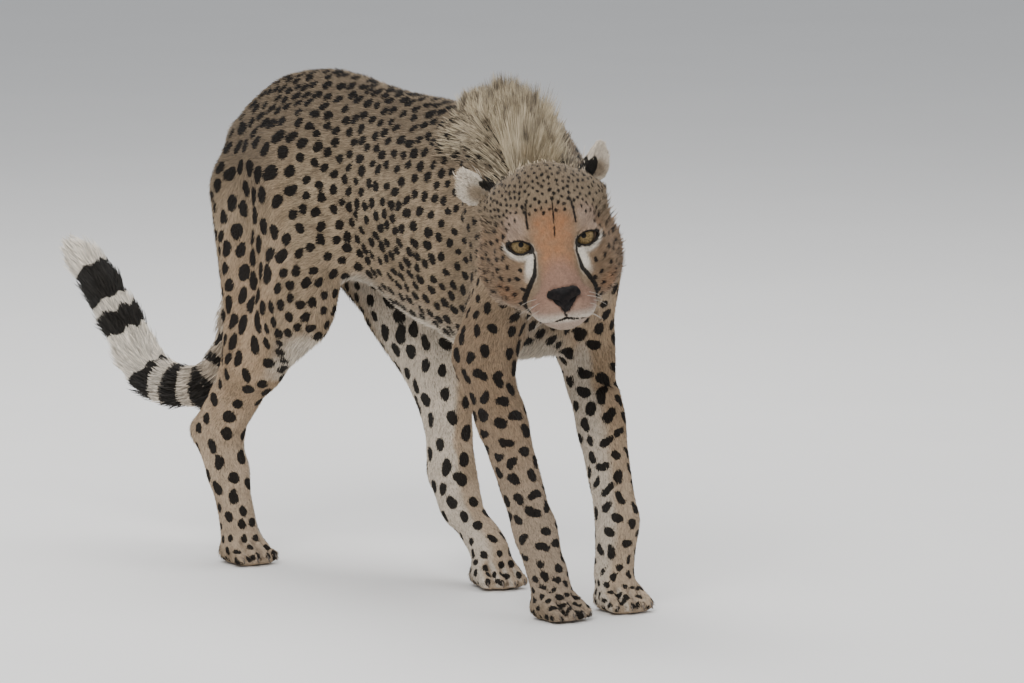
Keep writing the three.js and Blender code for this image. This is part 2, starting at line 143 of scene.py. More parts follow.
class Graph:
    def __init__(self, tree):
        self.tree = tree

    def add(self, kind, settings=None, inputs=(), output=0):
        node = self.tree.nodes.new(kind)
        for key, value in (settings or {}).items():
            setattr(node, key, value)
        pairs = inputs.items() if isinstance(inputs, dict) else enumerate(inputs)
        for key, value in pairs:
            if isinstance(value, Term):
                self.tree.links.new(value.socket, node.inputs[key])
            else:
                node.inputs[key].default_value = value
        return Term(self, node.outputs[output])

    def attribute(self, name, output="Fac"):
        return self.add("ShaderNodeAttribute", {"attribute_name": name}, output=output)

    def noise(self, scale, detail=2.0, where=None):
        where = where or self.add("ShaderNodeTexCoord", output="Object")
        return self.add("ShaderNodeTexNoise", None, {"Vector": where, "Scale": scale, "Detail": detail})

    def mix(self, share, first, second):
        # inputs 6 and 7 are the colour sockets of the node
        colours = {6: first, 7: second, 0: share}
        fixed = {k: (*v, 1) if isinstance(v, tuple) else v for k, v in colours.items()}
        return self.add("ShaderNodeMix", {"data_type": "RGBA"}, fixed, 2)

    def vector(self, operation, *inputs):
        return self.add("ShaderNodeVectorMath", {"operation": operation}, inputs)

    def scaled(self, vector, factor):
        return self.add("ShaderNodeVectorMath", {"operation": "SCALE"}, {0: vector, "Scale": factor})

    def surface(self, **terms):
        # links terms to the surface's sockets; bump is a height, a strength and a distance
        surface = self.tree.nodes["Principled BSDF"]
        names = {"colour": "Base Color", "roughness": "Roughness", "bump": "Normal"}
        for key, term in terms.items():
            if key == "bump":
                term = self.add("ShaderNodeBump", None, dict(zip(("Height", "Strength", "Distance"), term)))
            self.tree.links.new(term.socket, surface.inputs[names[key]])


def newMaterial(name, fixed):
    # a Principled surface; the fixed values are set on its own sockets
    material = bpy.data.materials.new(name)
    material.use_nodes = True
    surface = material.node_tree.nodes["Principled BSDF"]
    for key, value in fixed.items():
        surface.inputs[key].default_value = value
    return material, Graph(material.node_tree)


# floor
floorLook, graph = newMaterial("studioFloor", {"Roughness": 0.9})
grain = graph.noise(3.0, 3.0).between(0.3, 0.7)
graph.surface(colour=graph.mix(grain * 0.05, studio["floorColour"], studio["floorGrain"]))
floorMesh = bpy.data.meshes.new("floor")
reach = studio["floorSize"] / 2
corners = [(-reach, -reach, 0), (reach, -reach, 0), (reach, reach, 0), (-reach, reach, 0)]
floorMesh.from_pydata(corners, [], [(0, 1, 2, 3)])
floor = newObject("floor", floorMesh, floorLook)
print("studio ready")


# mesh helpers
def read(items, name, width=1, kind=np.float32):
    flat = np.empty(len(items) * width, kind)
    items.foreach_get(name, flat)
    return flat.reshape(-1, width) if width > 1 else flat


def readCo(mesh):
    return read(mesh.vertices, "co", 3).astype(float)


def readNormals(mesh):
    return read(mesh.vertex_normals, "vector", 3).astype(float)


def readEdges(mesh):
    return read(mesh.edges, "vertices", 2, np.int32)


def writeCo(mesh, co):
    mesh.vertices.foreach_set("co", co.astype(np.float32).ravel())
    mesh.update()


def writeField(mesh, name, values):
    many = values.ndim == 2
    layer = mesh.attributes.new(name, "FLOAT_VECTOR" if many else "FLOAT", "POINT")
    layer.data.foreach_set("vector" if many else "value", values.astype(np.float32).ravel())


def smoothShaded(mesh):
    for polygon in mesh.polygons:
        polygon.use_smooth = True


def meshFrom(bm, name):
    mesh = bpy.data.meshes.new(name)
    bm.to_mesh(mesh)
    bm.free()
    return mesh


def meshTree(mesh, co):
    return BVHTree.FromPolygons([tuple(v) for v in co], [tuple(p.vertices) for p in mesh.polygons])


def unit(vectors):
    return vectors / np.maximum(np.linalg.norm(vectors, axis=-1, keepdims=True), 1e-9)


def step(values, low, high):
    # 0 below low and 1 above high, softly
    t = np.clip((values - low) / (high - low), 0, 1)
    return t * t * (3 - 2 * t)


def fade(values, low, high):
    # 1 below low and 0 above high, softly
    return 1 - step(values, low, high)


def most(*values):
    return functools.reduce(np.maximum, values)


def least(*values):
    return functools.reduce(np.minimum, values)


def blendIn(base, value, share):
    return base + (value - base) * share


def layered(base, *layers):
    # each layer is a value and its share, laid over what comes before it
    for value, share in layers:
        base = blendIn(base, value, share)
    return base


def farFrom(points, place, size=1.0):
    return np.linalg.norm((points - np.array(place)) / size, axis=1)


def alongPath(points, path):
    # distance to a line through the path's points, and how far along it
    path = np.array(path, float)
    best = np.full(len(points), 1e9)
    walked = np.zeros(len(points))
    start = 0.0
    for a, b in zip(path[:-1], path[1:]):
        span = np.linalg.norm(b - a)
        share = np.clip((points - a) @ (b - a) / span**2, 0, 1)
        far = np.linalg.norm(points - a - share[:, None] * (b - a), axis=1)
        nearer = far < best
        best[nearer] = far[nearer]
        walked[nearer] = start + share[nearer] * span
        start += span
    return best, walked


def nearPath(points, path, low, high):
    # 1 within low of the path and 0 beyond high
    return fade(alongPath(points, path)[0], low, high)


def relax(co, edges, strength, rounds):
    # evens out facets without shrinking what they bound
    count = np.bincount(edges.ravel(), minlength=len(co))[:, None]
    for _ in range(rounds):
        for pull in (0.5, -0.52):
            total = np.empty_like(co)
            for axis in range(3):
                total[:, axis] = np.bincount(edges[:, 0], co[edges[:, 1], axis], len(co))
                total[:, axis] += np.bincount(edges[:, 1], co[edges[:, 0], axis], len(co))
            co = co + strength * pull * (total / count - co)
    return co


def evaluated(thing):
    # the mesh that the object's modifiers make; the object is removed
    depsgraph = bpy.context.evaluated_depsgraph_get()
    mesh = bpy.data.meshes.new_from_object(thing.evaluated_get(depsgraph))
    bpy.data.objects.remove(thing)
    return mesh


# where things are
sides = (1, -1)
farthest = 0.05    # that is told from the eyes' and the markings' edges
head = {"middle": (-0.0739, -0.4337, 0.470), "turn": -122.0, "nod": 8.5, "tilt": 8.0}
headMatrix = Matrix.Translation(head["middle"])
for angle, axis in (("turn", "Z"), ("nod", "Y"), ("tilt", "X")):
    headMatrix = headMatrix @ Matrix.Rotation(math.radians(head[angle]), 4, axis)
headTurn = np.array(headMatrix.to_3x3())
headMiddle = np.array(headMatrix.translation)


def toHead(points):
    return (points - headMiddle) @ headTurn


def fromHead(points):
    return points @ headTurn.T + headMiddle


def mirrored(path, side):
    return [(x, side * y, z) for x, y, z in path]


def mm(*rows):
    # rows of millimetres in metres
    return [tuple(value / 1000 for value in row) for row in rows]


# joints of each limb: x, y, z and how thick the limb is there
chains = {
    "neck": mm((-49, -392, 474, 60), (29, -264, 488, 85)),
    "trunk": mm((29, -264, 450, 100), (29, -50, 455, 110), (29, 116, 500, 95), (29, 285, 525, 70)),
    "foreRight": mm((-13, -234, 560, 34), (-33, -316, 430, 36), (-49, -268, 312, 36), (-43, -300, 235, 30),
                    (-29, -346, 108, 25), (-21, -366, 46, 25), (-17, -414, 10, 22)),
    "foreLeft": mm((71, -234, 560, 34), (85, -314, 430, 36), (107, -270, 312, 36), (101, -312, 222, 30),
                   (89, -359, 108, 25), (83, -360, 46, 25), (79, -408, 10, 22)),
    "hindRight": mm((-25, 190, 508, 72), (-48, 160, 385, 60), (-57, 184, 262, 40), (-53, 268, 160, 26),
                    (-51, 240, 100, 24), (-51, 228, 46, 25), (-51, 178, 10, 22)),
    "hindLeft": mm((83, 160, 508, 72), (105, 60, 385, 60), (109, 12, 245, 40), (94, -20, 128, 26),
                   (86, -55, 88, 24), (79, -120, 46, 25), (69, -170, 10, 22)),
    "tail": mm((31, 282, 528, 26), (35, 326, 455, 22), (37, 340, 372, 21), (29, 336, 290, 22),
               (7, 330, 238, 22), (-17, 340, 208, 23), (-33, 382, 205, 24), (-45, 418, 215, 25),
               (-55, 438, 242, 25), (-65, 459, 284, 24), (-76, 482, 324, 22), (-84, 506, 354, 19),
               (-91, 528, 370, 13)),
}
limbNames = ["foreRight", "foreLeft", "hindRight", "hindLeft"]
paws = {
    "foreRight": {"knuckle": (-0.0209, -0.3657), "heading": (4, -48)},
    "foreLeft": {"knuckle": (0.0831, -0.3597), "heading": (-4, -48)},
    "hindRight": {"knuckle": (-0.0509, 0.2283), "heading": (0, -50)},
    "hindLeft": {"knuckle": (0.0791, -0.1197), "heading": (-10, -50)},
}
toeSides = (-1.5, -0.5, 0.5, 1.5)
toeSpec = {"reach": 0.0475, "shorter": 0.007}    # ahead of the knuckle, less so to the sides
tailPath = [joint[:3] for joint in chains["tail"]]
tailTip = 0.012    # beyond the last joint
tailLength = sum((Vector(b) - Vector(a)).length for a, b in zip(tailPath[:-1], tailPath[1:])) + tailTip


def pawPoint(paw, ahead, aside, height):
    heading = Vector(paw["heading"]).normalized()
    x = paw["knuckle"][0] + heading.x * ahead - heading.y * aside
    y = paw["knuckle"][1] + heading.y * ahead + heading.x * aside
    return Vector((x, y, height))


def toeReach(n):
    return toeSpec["reach"] - toeSpec["shorter"] * abs(n)


# skin: one closed surface for all the flesh
skinSpec = {
    "voxel": 0.0048,
    "seal": 0.0006,       # how far each node is grown so that the thin cuts close
    "coarse": 0.009,      # of the evened-out copy that the trunk is drawn onto
    "coarseRounds": 30,
    "bodyRounds": 60,
    "headRounds": 7,
    "pawRounds": 3,
    # balls under each toe: back from its tip, aside, height and size
    "toeBalls": ((0.0, 0.0165, 0.0105, 0.0100), (0.017, 0.0150, 0.0185, 0.0112)),
    "earRoot": 0.013,     # balls that join the ears to the head
    "earRoots": mm((-30, 60, 56), (-24, 66, 50), (-33, -66, 48), (-26, -70, 42)),
    "lowest": 0.0008,
}
merge = 1e-6    # distance under which corners are one
apart = ("eye_left", "eye_right", "nose_pad")
fleshNodes = [name for name in sorted(nodes) if name not in (*apart, "mane")]


def gatherFlesh():
    bm = bmesh.new()
    for name in (*fleshNodes, *apart):
        bm.from_mesh(nodes[name].data)
    bmesh.ops.remove_doubles(bm, verts=bm.verts, dist=merge)
    bm.normal_update()
    for v in bm.verts:
        v.co += v.normal * skinSpec["seal"]
    balls = [(headMatrix @ Vector(place), skinSpec["earRoot"]) for place in skinSpec["earRoots"]]
    for paw, n in itertools.product(paws.values(), toeSides):
        for back, aside, height, size in skinSpec["toeBalls"]:
            balls.append((pawPoint(paw, toeReach(n) - back, n * aside, height), size))
    for place, size in balls:
        bmesh.ops.create_icosphere(bm, subdivisions=2, radius=size, matrix=Matrix.Translation(place))
    return meshFrom(bm, "flesh")


def remeshed(mesh, voxel):
    lump = newObject("lump", mesh)
    modifier = lump.modifiers.new("even", "REMESH")
    modifier.mode = "VOXEL"
    modifier.voxel_size = voxel
    return evaluated(lump)


def openMesh(mesh):
    bm = bmesh.new()
    bm.from_mesh(mesh)
    bm.verts.ensure_lookup_table()
    return bm


def closeMesh(bm, mesh):
    bm.to_mesh(mesh)
    bm.free()


def refine(mesh, wanted):
    # halves the faces whose corners are all wanted
    bm = openMesh(mesh)
    chosen = set()
    for face in bm.faces:
        if all(wanted[v.index] for v in face.verts):
            chosen.update(face.edges)
    bmesh.ops.subdivide_edges(bm, edges=list(chosen), cuts=1, use_grid_fill=True)
    bmesh.ops.triangulate(bm, faces=[f for f in bm.faces if len(f.verts) > 4])
    closeMesh(bm, mesh)


def largestPart(mesh):
    # drops any crumbs left inside by the remesh
    edges = readEdges(mesh)
    label = np.arange(len(mesh.vertices))
    while True:
        low = label.copy()
        np.minimum.at(low, edges[:, 0], label[edges[:, 1]])
        np.minimum.at(low, edges[:, 1], label[edges[:, 0]])
        low = low[low]
        if (low == label).all():
            break
        label = low
    names, counts = np.unique(label, return_counts=True)
    if len(names) > 1:
        main = names[counts.argmax()]
        bm = openMesh(mesh)
        bmesh.ops.delete(bm, geom=[v for v in bm.verts if label[v.index] != main], context="VERTS")
        closeMesh(bm, mesh)
    return mesh


def chainReach(co, name):
    # distance from a limb's line, in limb thicknesses, and the line's direction there
    joints = np.array(chains[name])
    nearest = np.full(len(co), 1e9)
    heading = np.zeros_like(co)
    for a, b in zip(joints[:-1], joints[1:]):
        line = b[:3] - a[:3]
        share = np.clip((co - a[:3]) @ line / (line @ line), 0, 1)
        thick = a[3] + (b[3] - a[3]) * share
        far = np.linalg.norm(co - a[:3] - share[:, None] * line, axis=1) / thick
        heading += line / np.linalg.norm(line) * (np.maximum(far, 0.2) ** -6)[:, None]
        nearest = np.minimum(nearest, far)
    return nearest, unit(heading)


ears = {1: (-0.030, 0.068, 0.074), -1: (-0.036, -0.070, 0.066)}


def earShare(local):
    share = most(*(fade(farFrom(local, place), 0.034, 0.046) for place in ears.values()))
    return share * step(np.abs(local[:, 1]), 0.036, 0.050)


def headShare(co):
    local = toHead(co)
    far = farFrom(local, (0.012, 0, 0), (0.125, 0.100, 0.112))
    return most(fade(far, 0.96, 1.14), earShare(local))


def trunkShare(co):
    # 1 on the trunk and thighs, 0 on the head, the tail and the lower limbs
    awayFromTail = step(chainReach(co, "tail")[0], 1.5, 2.4)
    return (1 - headShare(co)) * step(co[:, 2], 0.26, 0.34) * np.where(co[:, 1] > 0.2, awayFromTail, 1)


def evenTrunk(co):
    # draws the trunk onto a coarser copy of the body, which has no facets
    coarse = largestPart(remeshed(gatherFlesh(), skinSpec["coarse"]))
    whole = np.ones((len(coarse.vertices), 1))
    tree = meshTree(coarse, relax(readCo(coarse), readEdges(coarse), whole, skinSpec["coarseRounds"]))
    share = trunkShare(co)
    for i in np.nonzero(share > 0.01)[0]:
        place = tree.find_nearest(Vector(co[i]))[0]
        co[i] += (np.array(place) - co[i]) * share[i]
    return co


skinMesh = largestPart(remeshed(gatherFlesh(), skinSpec["voxel"]))
print("skin remeshed:", len(skinMesh.vertices), "vertices")
co = evenTrunk(readCo(skinMesh))
edges = readEdges(skinMesh)
onHead = headShare(co)
pawHeight = fade(co[:, 2], 0.030, 0.055)
earPart = earShare(toHead(co))
smooth = np.maximum(1 - onHead - pawHeight, 0)
co = relax(co, edges, smooth[:, None], skinSpec["bodyRounds"])
co = relax(co, edges, (most(onHead, smooth) * (1 - earPart))[:, None], skinSpec["headRounds"])
co = relax(co, edges, np.ones((len(co), 1)), skinSpec["pawRounds"])
writeCo(skinMesh, co)

# coat lengths and how far the skin lies inside the outline
coatSpec = {
    # hair lengths
    "body": 0.0080, "top": 0.0092, "neck": 0.0115, "crest": 0.030, "belly": 0.0125,
    "haunchBack": 0.0090, "legTop": 0.0064, "legFoot": 0.0042, "tailTop": 0.0090, "tailEnd": 0.0180,
    "bridge": 0.0022, "forehead": 0.0042, "crown": 0.0070, "nape": 0.020, "cheek": 0.0100,
    "ruff": 0.0150, "ear": 0.0038,
    "tailFull": 0.78,    # how far down the tail its hair is longest
    # how steeply it stands, in degrees
    "bodyLift": 12.0, "topLift": 20.0, "bellyLift": 15.0, "neckLift": 15.0, "crestLift": 30.0,
    "tailLift": 11.0, "ruffLift": 19.0, "napeLift": 20.0, "faceLift": 10.0,
    # how deep the skin lies under the outline
    "depthShare": 0.9, "depthMore": 0.0004, "leastDepth": 0.0007, "mostDepth": 0.0075, "earDepth": 0.0008,
}


def solidTree(name):
    bm = openMesh(nodes[name].data)
    tree = BVHTree.FromBMesh(bm)
    bm.free()
    return tree


earTrees = [solidTree("ear_left"), solidTree("ear_right")]


def onEars(co):
    # 1 on the ears themselves, 0 on the head round them
    share = np.zeros(len(co))
    for i in np.nonzero(earShare(toHead(co)) > 0.01)[0]:
        far = min(tree.find_nearest(Vector(co[i]))[3] for tree in earTrees)
        share[i] = fade(far, 0.0022, 0.0055)
    return share


crestPath = mm((28, -140, 575), (18, -224, 592), (-10, -309, 585), (-45, -362, 545))


def coatFields(co, normals):
    # coat length, lift in degrees, and the weights of the parts of the body
    local, onHead = toHead(co), headShare(co)
    up, height, behind = normals[:, 2], co[:, 2], co[:, 1]
    reach = {name: chainReach(co, name) for name in chains}
    far = {name: value[0] for name, value in reach.items()}
    limb = least(*(far[name] for name in limbNames))
    onLimb = fade(limb, 1.05, 1.7) * fade(height, 0.34, 0.46) * (1 - onHead)
    onTail = fade(far["tail"], 1.5, 2.1) * step(behind, 0.275, 0.31)
    walked = alongPath(co, tailPath)[1]
    tailShare = np.clip(walked / coatSpec["tailFull"], 0, 1)
    under = step(-up, 0.35, 0.8) * (height > 0.25)
    onTop = step(up, -0.1, 0.5) * step(height, 0.46, 0.54)
    onNeck = fade(far["neck"], 1.1, 1.5) * fade(behind, -0.30, -0.24)
    crest = nearPath(co, crestPath, 0.035, 0.085) * step(up, -0.1, 0.35) * fade(behind, -0.20, -0.13)
    length = layered(
        coatSpec["body"],
        (coatSpec["belly"], under),
        (coatSpec["top"], onTop),
        (coatSpec["neck"], onNeck),
        (coatSpec["crest"], crest),
        (coatSpec["haunchBack"], step(behind, 0.20, 0.28) * step(height, 0.2, 0.3)),
        (blendIn(coatSpec["legFoot"], coatSpec["legTop"], step(height, 0.04, 0.36)), onLimb),
        (blendIn(coatSpec["tailTop"], coatSpec["tailEnd"], tailShare), onTail),
    )
    shares = {"belly": under, "top": onTop, "neck": onNeck, "crest": crest, "tail": onTail * tailShare}
    lifts = [(coatSpec[name + "Lift"], share) for name, share in shares.items()]
    lift = layered(coatSpec["bodyLift"], *lifts)

    # the head: shortest on the bridge, longest behind the crown and in the ruff
    x, y, z = local.T
    wide = np.abs(y)
    nape = fade(x, -0.034, -0.010) * step(z, 0.035, 0.070)
    onEar = onEars(co)
    face = layered(
        coatSpec["bridge"],
        (coatSpec["cheek"], step(wide, 0.030, 0.052) * fade(x, 0.050, 0.085)),
        (coatSpec["forehead"], step(z, 0.028, 0.050)),
        (coatSpec["crown"], step(z, 0.055, 0.085) * fade(x, 0.015, 0.040)),
        (coatSpec["ruff"], fade(x, -0.012, 0.030) * step(wide, 0.030, 0.055) * fade(z, 0.030, 0.055)),
        (coatSpec["ruff"], fade(z, -0.085, -0.062) * fade(x, 0.04, 0.070)),
        (coatSpec["nape"], nape),
        (coatSpec["ear"], onEar),
    )
    faceLift = blendIn(coatSpec["faceLift"], coatSpec["ruffLift"], step(face, 0.008, 0.015))
    faceLift = blendIn(faceLift, coatSpec["napeLift"], nape * (1 - onEar))
    return {
        "length": blendIn(length, face, onHead), "lift": blendIn(lift, faceLift, onHead),
        "onHead": onHead, "onLimb": onLimb, "onTail": onTail, "onEar": onEar, "crest": crest,
        "tailShare": tailShare, "left": tailLength - walked, "local": local, "reach": reach, "far": far,
    }


fields = coatFields(co, readNormals(skinMesh))
inset = fields["length"] * np.sin(np.radians(fields["lift"])) * coatSpec["depthShare"]
inset = np.clip(inset + coatSpec["depthMore"], coatSpec["leastDepth"], coatSpec["mostDepth"])
co = co - readNormals(skinMesh) * inset[:, None]
co[:, 2] = np.maximum(co[:, 2], skinSpec["lowest"])
writeCo(skinMesh, co)

# finer faces where the features are small
eyeSpec = {
    "centre": (0.0420, 0.038, 0.0150), "radius": 0.0163,
    "splay": 14.0, "slant": 6.0,
    "inner": 0.0150, "outer": 0.0145, "upper": 0.0072, "lower": 0.0088,
    "almond": 2.2, "drawnDown": 0.0022,
    "lid": 0.0017, "lidEdge": 0.0015, "behind": 0.0022, "blend": 0.010,
    # folds round the lids: distance from the edge, width and depth
    "crease": (0.0042, 0.0011, 0.0009),
    "bag": (0.0048, 0.0016, 0.0006),
    "snap": 0.00035,     # how near the edge a corner of the skin is pulled onto it
    "outlineSteps": 72,
}
tearPath = mm((60, 25.5, 11.5), (68, 25.7, 4.5), (72, 26.7, -4), (76.5, 28.7, -15), (75, 35.2, -27.5),
              (65.5, 38.5, -39.5), (57, 40, -49), (53, 41, -59), (56, 39.5, -67))
mouthPath = mm((108.5, 0, -64.5), (107, 8, -67), (104, 18, -69.5), (92, 26.5, -72), (76, 31, -68),
               (62, 34.5, -61))
lipGap = mm((116, 0, -52), (112, 0, -60), (108.5, 0, -64.5))


def nearest(local, *paths):
    # distance from the nearest of the paths, on either side of the face
    return least(*(alongPath(local, mirrored(path, side))[0] for path in paths for side in sides))


def eyeAxes(side):
    turn = Matrix.Rotation(math.radians(eyeSpec["splay"] * side), 3, "Z")
    turn = turn @ Matrix.Rotation(math.radians(eyeSpec["slant"] * side), 3, "X")
    axes = [turn @ Vector(way) for way in ((0, side, 0), (0, 0, 1), (1, 0, 0))]
    return np.array(mirrored([eyeSpec["centre"]], side)[0]), np.array(axes)


def lids(t):
    # heights of the upper and the lower lid from the inner corner, -1, to the outer, 1
    arch = 1 - np.abs(t) ** eyeSpec["almond"]
    drop = eyeSpec["drawnDown"] * np.maximum(-t, 0) ** 3
    return eyeSpec["upper"] * arch - drop, -eyeSpec["lower"] * arch - drop


opening = []
for i in range(eyeSpec["outlineSteps"] + 1):
    angle = 2 * math.pi * i / eyeSpec["outlineSteps"]
    t = math.cos(angle)
    wide = eyeSpec["outer"] if t > 0 else eyeSpec["inner"]
    opening.append((t * wide, lids(t)[0 if math.sin(angle) > 0 else 1]))


def eyeDistance(flat):
    # signed distance from the opening's edge, negative inside
    across, high = flat.T
    wide = np.where(across > 0, eyeSpec["outer"], eyeSpec["inner"])
    upper, lower = lids(np.clip(across / wide, -1, 1))
    far = alongPath(flat, opening)[0]
    return np.where((high < upper) & (high > lower) & (np.abs(across) < wide), -far, far)


def eyeFlat(local, side):
    # places across, up and out of the eye's opening
    centre, axes = eyeAxes(side)
    return (local - centre) @ axes.T


def eyeRim(local):
    # distance from the opening of each eye, for what lies in front of it
    flats = [eyeFlat(local, side) for side in sides]
    return [np.where(flat[:, 2] > 0, eyeDistance(flat[:, :2]), farthest) for flat in flats]


def fromPair(local, place):
    # distance from the place or its twin on the other side of the face
    return least(*(farFrom(local, mirrored([place], side)[0]) for side in sides))


def hugEars(mesh):
    # sets the skin of the ears just under the solid ears
    co, normals = readCo(mesh), readNormals(mesh)
    share = earShare(toHead(co))
    for tree, i in itertools.product(earTrees, np.nonzero(share > 0.1)[0]):
        place, outward, _, far = tree.find_nearest(Vector(co[i]), 0.008)
        if place is None or outward @ Vector(normals[i]) < 0.1:
            continue
        pull = fade(far, 0.003, 0.006) * min(share[i] * 2, 1)
        co[i] += (np.array(place - outward * coatSpec["earDepth"]) - co[i]) * pull
    writeCo(mesh, relax(co, readEdges(mesh), (share * 0.7)[:, None], 2))


fineSpec = {
    "eyeMiddle": (0.052, 0.038, 0.015), "eyeSize": 0.016, "featureReach": 0.006, "rimReach": 0.0026,
    "toeAhead": 0.030, "toeHeight": 0.012, "toeReach": 0.042, "toeTop": 0.036,
}
local = toHead(readCo(skinMesh))
onFace = (local[:, 0] > -0.005) & (headShare(readCo(skinMesh)) > 0.5) & (local[:, 2] > -0.1)
refine(skinMesh, onFace | (earShare(local) > 0.2))
hugEars(skinMesh)
local = toHead(readCo(skinMesh))
eyeNear = fromPair(local, fineSpec["eyeMiddle"]) - fineSpec["eyeSize"]
refine(skinMesh, least(eyeNear, nearest(local, mouthPath, lipGap) - 0.001) < fineSpec["featureReach"])
refine(skinMesh, least(*np.abs(eyeRim(toHead(readCo(skinMesh))))) < fineSpec["rimReach"])
co = readCo(skinMesh)
toes = [pawPoint(paw, fineSpec["toeAhead"], 0, fineSpec["toeHeight"]) for paw in paws.values()]
toeNear = least(*(farFrom(co, place) for place in toes))
refine(skinMesh, (toeNear < fineSpec["toeReach"]) & (co[:, 2] < fineSpec["toeTop"]))
print("skin refined:", len(skinMesh.vertices), "vertices")


# sculpting
def asTheyAre(co):
    return co


def swell(mesh, centre, radius, amount, where=toHead):
    # pushes the surface out round a place
    co = readCo(mesh)
    share = np.clip(1 - farFrom(where(co), centre, radius) ** 2, 0, 1) ** 2
    writeCo(mesh, co + readNormals(mesh) * (share * amount)[:, None])


def furrow(mesh, path, width, depth, where=toHead):
    # presses a soft line into the surface
    co = readCo(mesh)
    far = alongPath(where(co), path)[0]
    writeCo(mesh, co - readNormals(mesh) * (np.exp(-((far / width) ** 2)) * depth)[:, None])


def carveEye(mesh, side):
    # the skin lies on the eyeball round the opening and passes behind the eyeball inside it
    centre, axes = eyeAxes(side)
    flat = eyeFlat(toHead(readCo(mesh)), side)
    near = (flat[:, 2] > -0.004) & (np.hypot(flat[:, 0], flat[:, 1]) < 0.032)
    part = flat[near]
    edge = eyeDistance(part[:, :2])
    snap = np.abs(edge) < eyeSpec["snap"]
    ring = np.array(opening)
    gaps = ring[1:] - ring[:-1]
    for i in np.nonzero(snap)[0]:
        share = np.clip(((part[i, :2] - ring[:-1]) * gaps).sum(1) / (gaps**2).sum(1), 0, 1)
        spots = ring[:-1] + gaps * share[:, None]
        part[i, :2] = spots[np.linalg.norm(spots - part[i, :2], axis=1).argmin()]
    edge[snap] = 0
    high = part[:, 1]
    off = (part[:, :2] ** 2).sum(1)
    lid = np.sqrt(np.maximum((eyeSpec["radius"] + eyeSpec["lid"]) ** 2 - off, 0.000004))
    hidden = np.sqrt(np.maximum((eyeSpec["radius"] - eyeSpec["behind"]) ** 2 - off, 0.000001))
    out = part[:, 2]
    onLid = fade(edge, eyeSpec["lidEdge"], eyeSpec["blend"])
    over = most(blendIn(out, lid, onLid), np.where(off < 0.0002, lid, out))
    raised = np.where(edge >= 0, over, least(hidden, out))
    for fold, share in (("crease", step(high, -0.002, 0.004)), ("bag", step(-high, 0.002, 0.006))):
        away, width, depth = eyeSpec[fold]
        raised = raised - np.exp(-(((edge - away) / width) ** 2)) * share * depth
    part[:, 2] = raised
    flat[near] = part
    writeCo(mesh, fromHead(flat @ axes + centre))


toeCleft = {
    # ahead, aside and height of the groove between two toes
    "path": ((0.016, 0.0125, 0.032), (0.032, 0.0150, 0.026), (0.045, 0.0165, 0.015), (0.050, 0.0170, 0.004)),
    "width": 0.0034,
    "depth": 0.0078,
}
toeClefts = [
    [pawPoint(paw, ahead, n * aside, height) for ahead, aside, height in toeCleft["path"]]
    for paw in paws.values() for n in (-1, 0, 1)
]
bodyFurrows = [
    # path, width, depth: flank folds, behind the shoulders, before the heel cords
    (mm((-49, 100, 500), (-65, 105, 420), (-63, 75, 350)), 0.016, 0.0035),
    (mm((107, 90, 500), (123, 60, 430), (119, 20, 370)), 0.016, 0.0030),
    (mm((-37, -215, 540), (-55, -225, 450), (-69, -225, 370)), 0.014, 0.0030),
    (mm((95, -215, 540), (113, -225, 450), (127, -225, 370)), 0.014, 0.0030),
    (mm((-69, 225, 235), (-69, 262, 180), (-69, 270, 150)), 0.006, 0.0022),
    (mm((-37, 225, 235), (-37, 262, 180), (-37, 270, 150)), 0.006, 0.0022),
]
bodySwells = [
    # place, half sizes, amount: shoulder blades, hip bones
    (*mm((-41, -250, 520), (30, 45, 70)), 0.0040),
    (*mm((99, -250, 520), (30, 45, 70)), 0.0040),
    (*mm((-31, 105, 580), (30, 35, 35)), 0.0030),
    (*mm((89, 105, 580), (30, 35, 35)), 0.0030),
]
headSwells = [
    # brow, whisker pads, cheekbone, lower lip
    (*mm((56, 33, 34), (18, 20, 13)), 0.0024),
    (*mm((100, 17.5, -51), (18, 16, 15)), 0.0022),
    (*mm((60, 44, -14), (18, 16, 14)), 0.0016),
    (*mm((94, 15, -77), (14, 15, 10)), 0.0012),
]
headFurrows = [
    # beside the muzzle, mouth, lip, stop, cheek
    (mm((70, 25.5, 3), (80, 27.5, -16), (88, 29, -31)), 0.0055, 0.0022, sides),
    (mouthPath, 0.0016, 0.0030, sides),
    (lipGap, 0.0013, 0.0020, (1,)),
    (mm((52, 0, 62), (70, 0, 34), (78, 0, 18)), 0.0060, 0.0010, (1,)),
    (mm((30, 55.5, 24), (12, 62, 8), (-2, 66, -20)), 0.0070, 0.0014, sides),
]
for path, width, depth in bodyFurrows:
    furrow(skinMesh, path, width, depth, asTheyAre)
for centre, radius, amount in bodySwells:
    swell(skinMesh, centre, radius, amount, asTheyAre)
for (centre, radius, amount), side in itertools.product(headSwells, sides):
    swell(skinMesh, mirrored([centre], side)[0], radius, amount)
for path, width, depth, onSides in headFurrows:
    for side in onSides:
        furrow(skinMesh, mirrored(path, side), width, depth)
for path in toeClefts:
    furrow(skinMesh, path, toeCleft["width"], toeCleft["depth"], asTheyAre)
co = readCo(skinMesh)
writeCo(skinMesh, relax(co, readEdges(skinMesh), np.full((len(co), 1), 0.8), 2))
for side in sides:
    carveEye(skinMesh, side)

